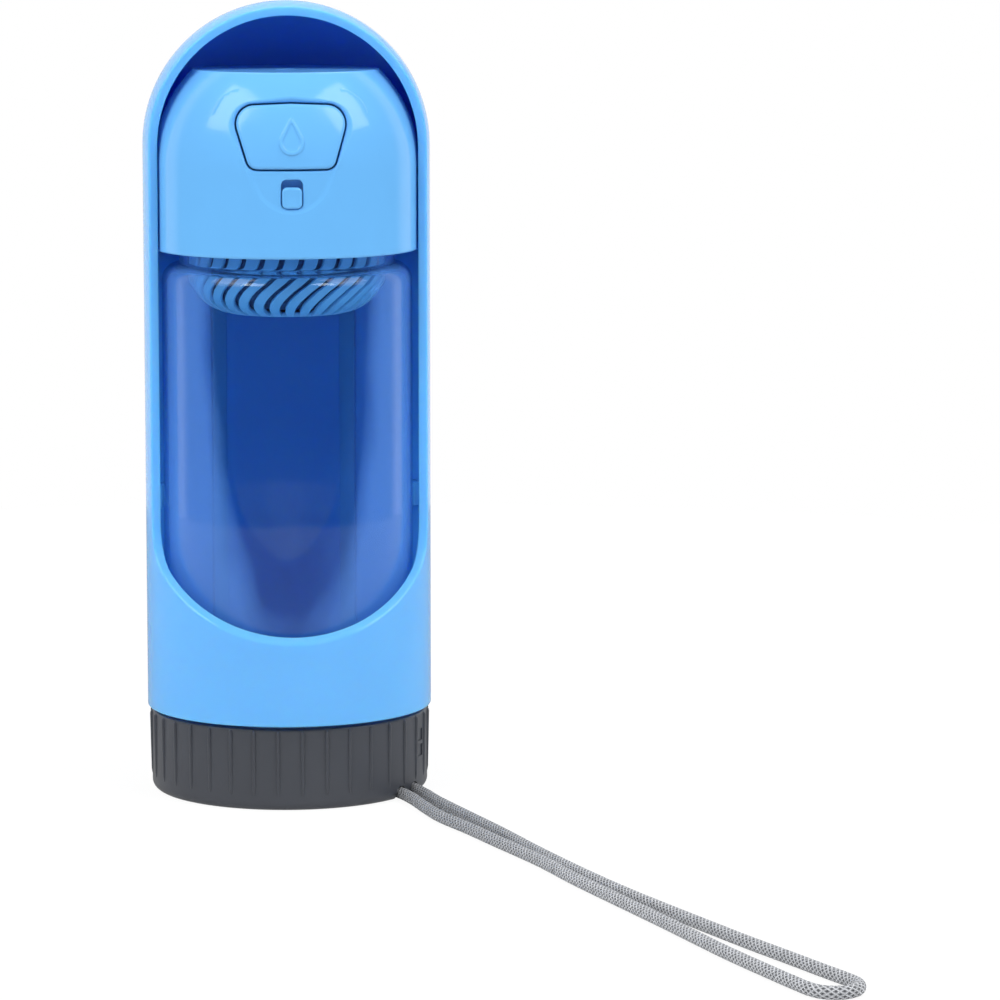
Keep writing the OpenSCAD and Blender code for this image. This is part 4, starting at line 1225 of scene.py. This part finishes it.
class OBJECT_OT_stage(bpy.types.Operator):
    """Sets the pale floor, the soft studio lights and the camera"""
    bl_idname = "bottle.stage"
    bl_label = "Stage"

    def execute(self, context):
        scene = context.scene
        scene.view_settings.view_transform = "Standard"
        disc = [(x, y, FLOOR_Z) for x, y in arc(FLOOR_R, 0, TURN, FLOOR_SIDES)[:-1]]
        floor = new_object("pale_floor", disc, [tuple(range(FLOOR_SIDES))], self.floor_finish())
        scene.world = self.studio_world()
        scene.cycles.max_bounces = 28
        scene.cycles.transmission_bounces = 24
        scene.cycles.diffuse_bounces = 8
        for lamp in LAMPS:
            self.soft_box(*lamp)
        camera = bpy.data.cameras.new("studio_camera")
        camera.lens, camera.sensor_width = LENS, SENSOR
        camera.clip_start, camera.clip_end = 0.05, 50
        view = bpy.data.objects.new("studio_camera", camera)
        view.location, view.rotation_euler = CAMERA_AT, CAMERA_TURN
        scene.collection.objects.link(view)
        scene.camera = view
        return {"FINISHED"}

    def studio_world(self):
        """A white room: white to the eye, dim in front to what mirrors it, soft to what it lights."""
        world = bpy.data.worlds.new("studio")
        s = Shader("studio", world)
        across, deep = (s.axis(s.node("ShaderNodeTexCoord"), letter) for letter in ("X", "Y"))
        mirrored, scattered = s.ray("Glossy Depth").least(1.0), s.ray("Diffuse Depth").least(1.0)
        behind = s.node(
            "ShaderNodeMapRange", {"interpolation_type": "SMOOTHSTEP"},
            {"Value": deep, "From Min": 0.28, "From Max": 0.48, "To Min": 0.05, "To Max": 0.8})
        white = s.node("ShaderNodeBackground", None,
                       {"Color": (1, 1, 1, 1), "Strength": 1.0 - mirrored * (1.0 - behind)})
        soft = s.node("ShaderNodeBackground", None,
                      {"Color": (0.95, 0.97, 1.0, 1), "Strength": across * across * 0.62 + 0.19})
        s.end(s.mix_shaders(scattered, white, soft), "ShaderNodeOutputWorld")
        return world

    def soft_box(self, name, azimuth, height, wide, tall, power, mirrored):
        """A rectangular lamp that faces the bottle."""
        lamp = bpy.data.lights.new(name, "AREA")
        lamp.shape, lamp.size, lamp.size_y, lamp.energy = "RECTANGLE", wide, tall, power
        a, e = math.radians(azimuth), math.radians(height)
        away = LAMP_REACH * Vector((math.sin(a) * math.cos(e), -math.cos(a) * math.cos(e), math.sin(e)))
        obj = bpy.data.objects.new(name, lamp)
        facing = away.to_track_quat("Z", "Y").to_matrix().to_4x4()
        obj.matrix_world = Matrix.Translation(Vector(AIM) + away) @ facing
        obj.visible_glossy = mirrored
        bpy.context.scene.collection.objects.link(obj)

    def floor_finish(self):
        """A pale floor that keeps a light shadow and looks white."""
        s = Shader("floor_white")
        reflected, scattered = s.ray("Glossy Depth").least(1.0), s.ray("Diffuse Depth").least(1.0)
        mirrored = reflected * (1.0 - scattered)
        seen = (1.0 - reflected) * (1.0 - scattered)
        lit = s.node("ShaderNodeBsdfDiffuse", None, {"Color": (0.86, 0.86, 0.86, 1)})
        glow = s.node("ShaderNodeEmission", None,
                      {"Color": (1, 1, 1, 1), "Strength": 1.03 - mirrored * 0.58})
        return s.end(s.mix_shaders((seen * 0.9).most(mirrored), lit, glow))


class VIEW3D_PT_bottle(bpy.types.Panel):
    """Lists the bottle's sizes, colours and pieces"""
    bl_idname = "VIEW3D_PT_travel_bottle"
    bl_label = "Travel water bottle"
    bl_space_type = "VIEW_3D"
    bl_region_type = "UI"
    bl_category = "Bottle"

    def draw(self, context):
        for group in (context.scene.bottle_sizes, context.scene.bottle_look):
            for key in group.__annotations__:
                self.layout.prop(group, key)
        for operator in STEPS:
            self.layout.operator(operator.bl_idname)


STEPS = (
    OBJECT_OT_stage, OBJECT_OT_wrist_cord, OBJECT_OT_trough_shell, OBJECT_OT_head, OBJECT_OT_button,
    OBJECT_OT_lock, OBJECT_OT_bottle, OBJECT_OT_filter_basket, OBJECT_OT_base_cap,
    OBJECT_OT_return_spring, OBJECT_OT_inner_parts,
)
CLASSES = (BottleSizes, BottleLook, *STEPS, VIEW3D_PT_bottle)


def register():
    for made in CLASSES:
        bpy.utils.register_class(made)
    bpy.types.Scene.bottle_sizes = bpy.props.PointerProperty(type=BottleSizes)
    bpy.types.Scene.bottle_look = bpy.props.PointerProperty(type=BottleLook)


def unregister():
    del bpy.types.Scene.bottle_look
    del bpy.types.Scene.bottle_sizes
    for made in reversed(CLASSES):
        bpy.utils.unregister_class(made)


def main():
    register()
    make_finishes(bpy.context.scene.bottle_look)
    for step in STEPS:
        group, name = step.bl_idname.split(".")
        getattr(getattr(bpy.ops, group), name)()


if __name__ == "__main__":
    main()
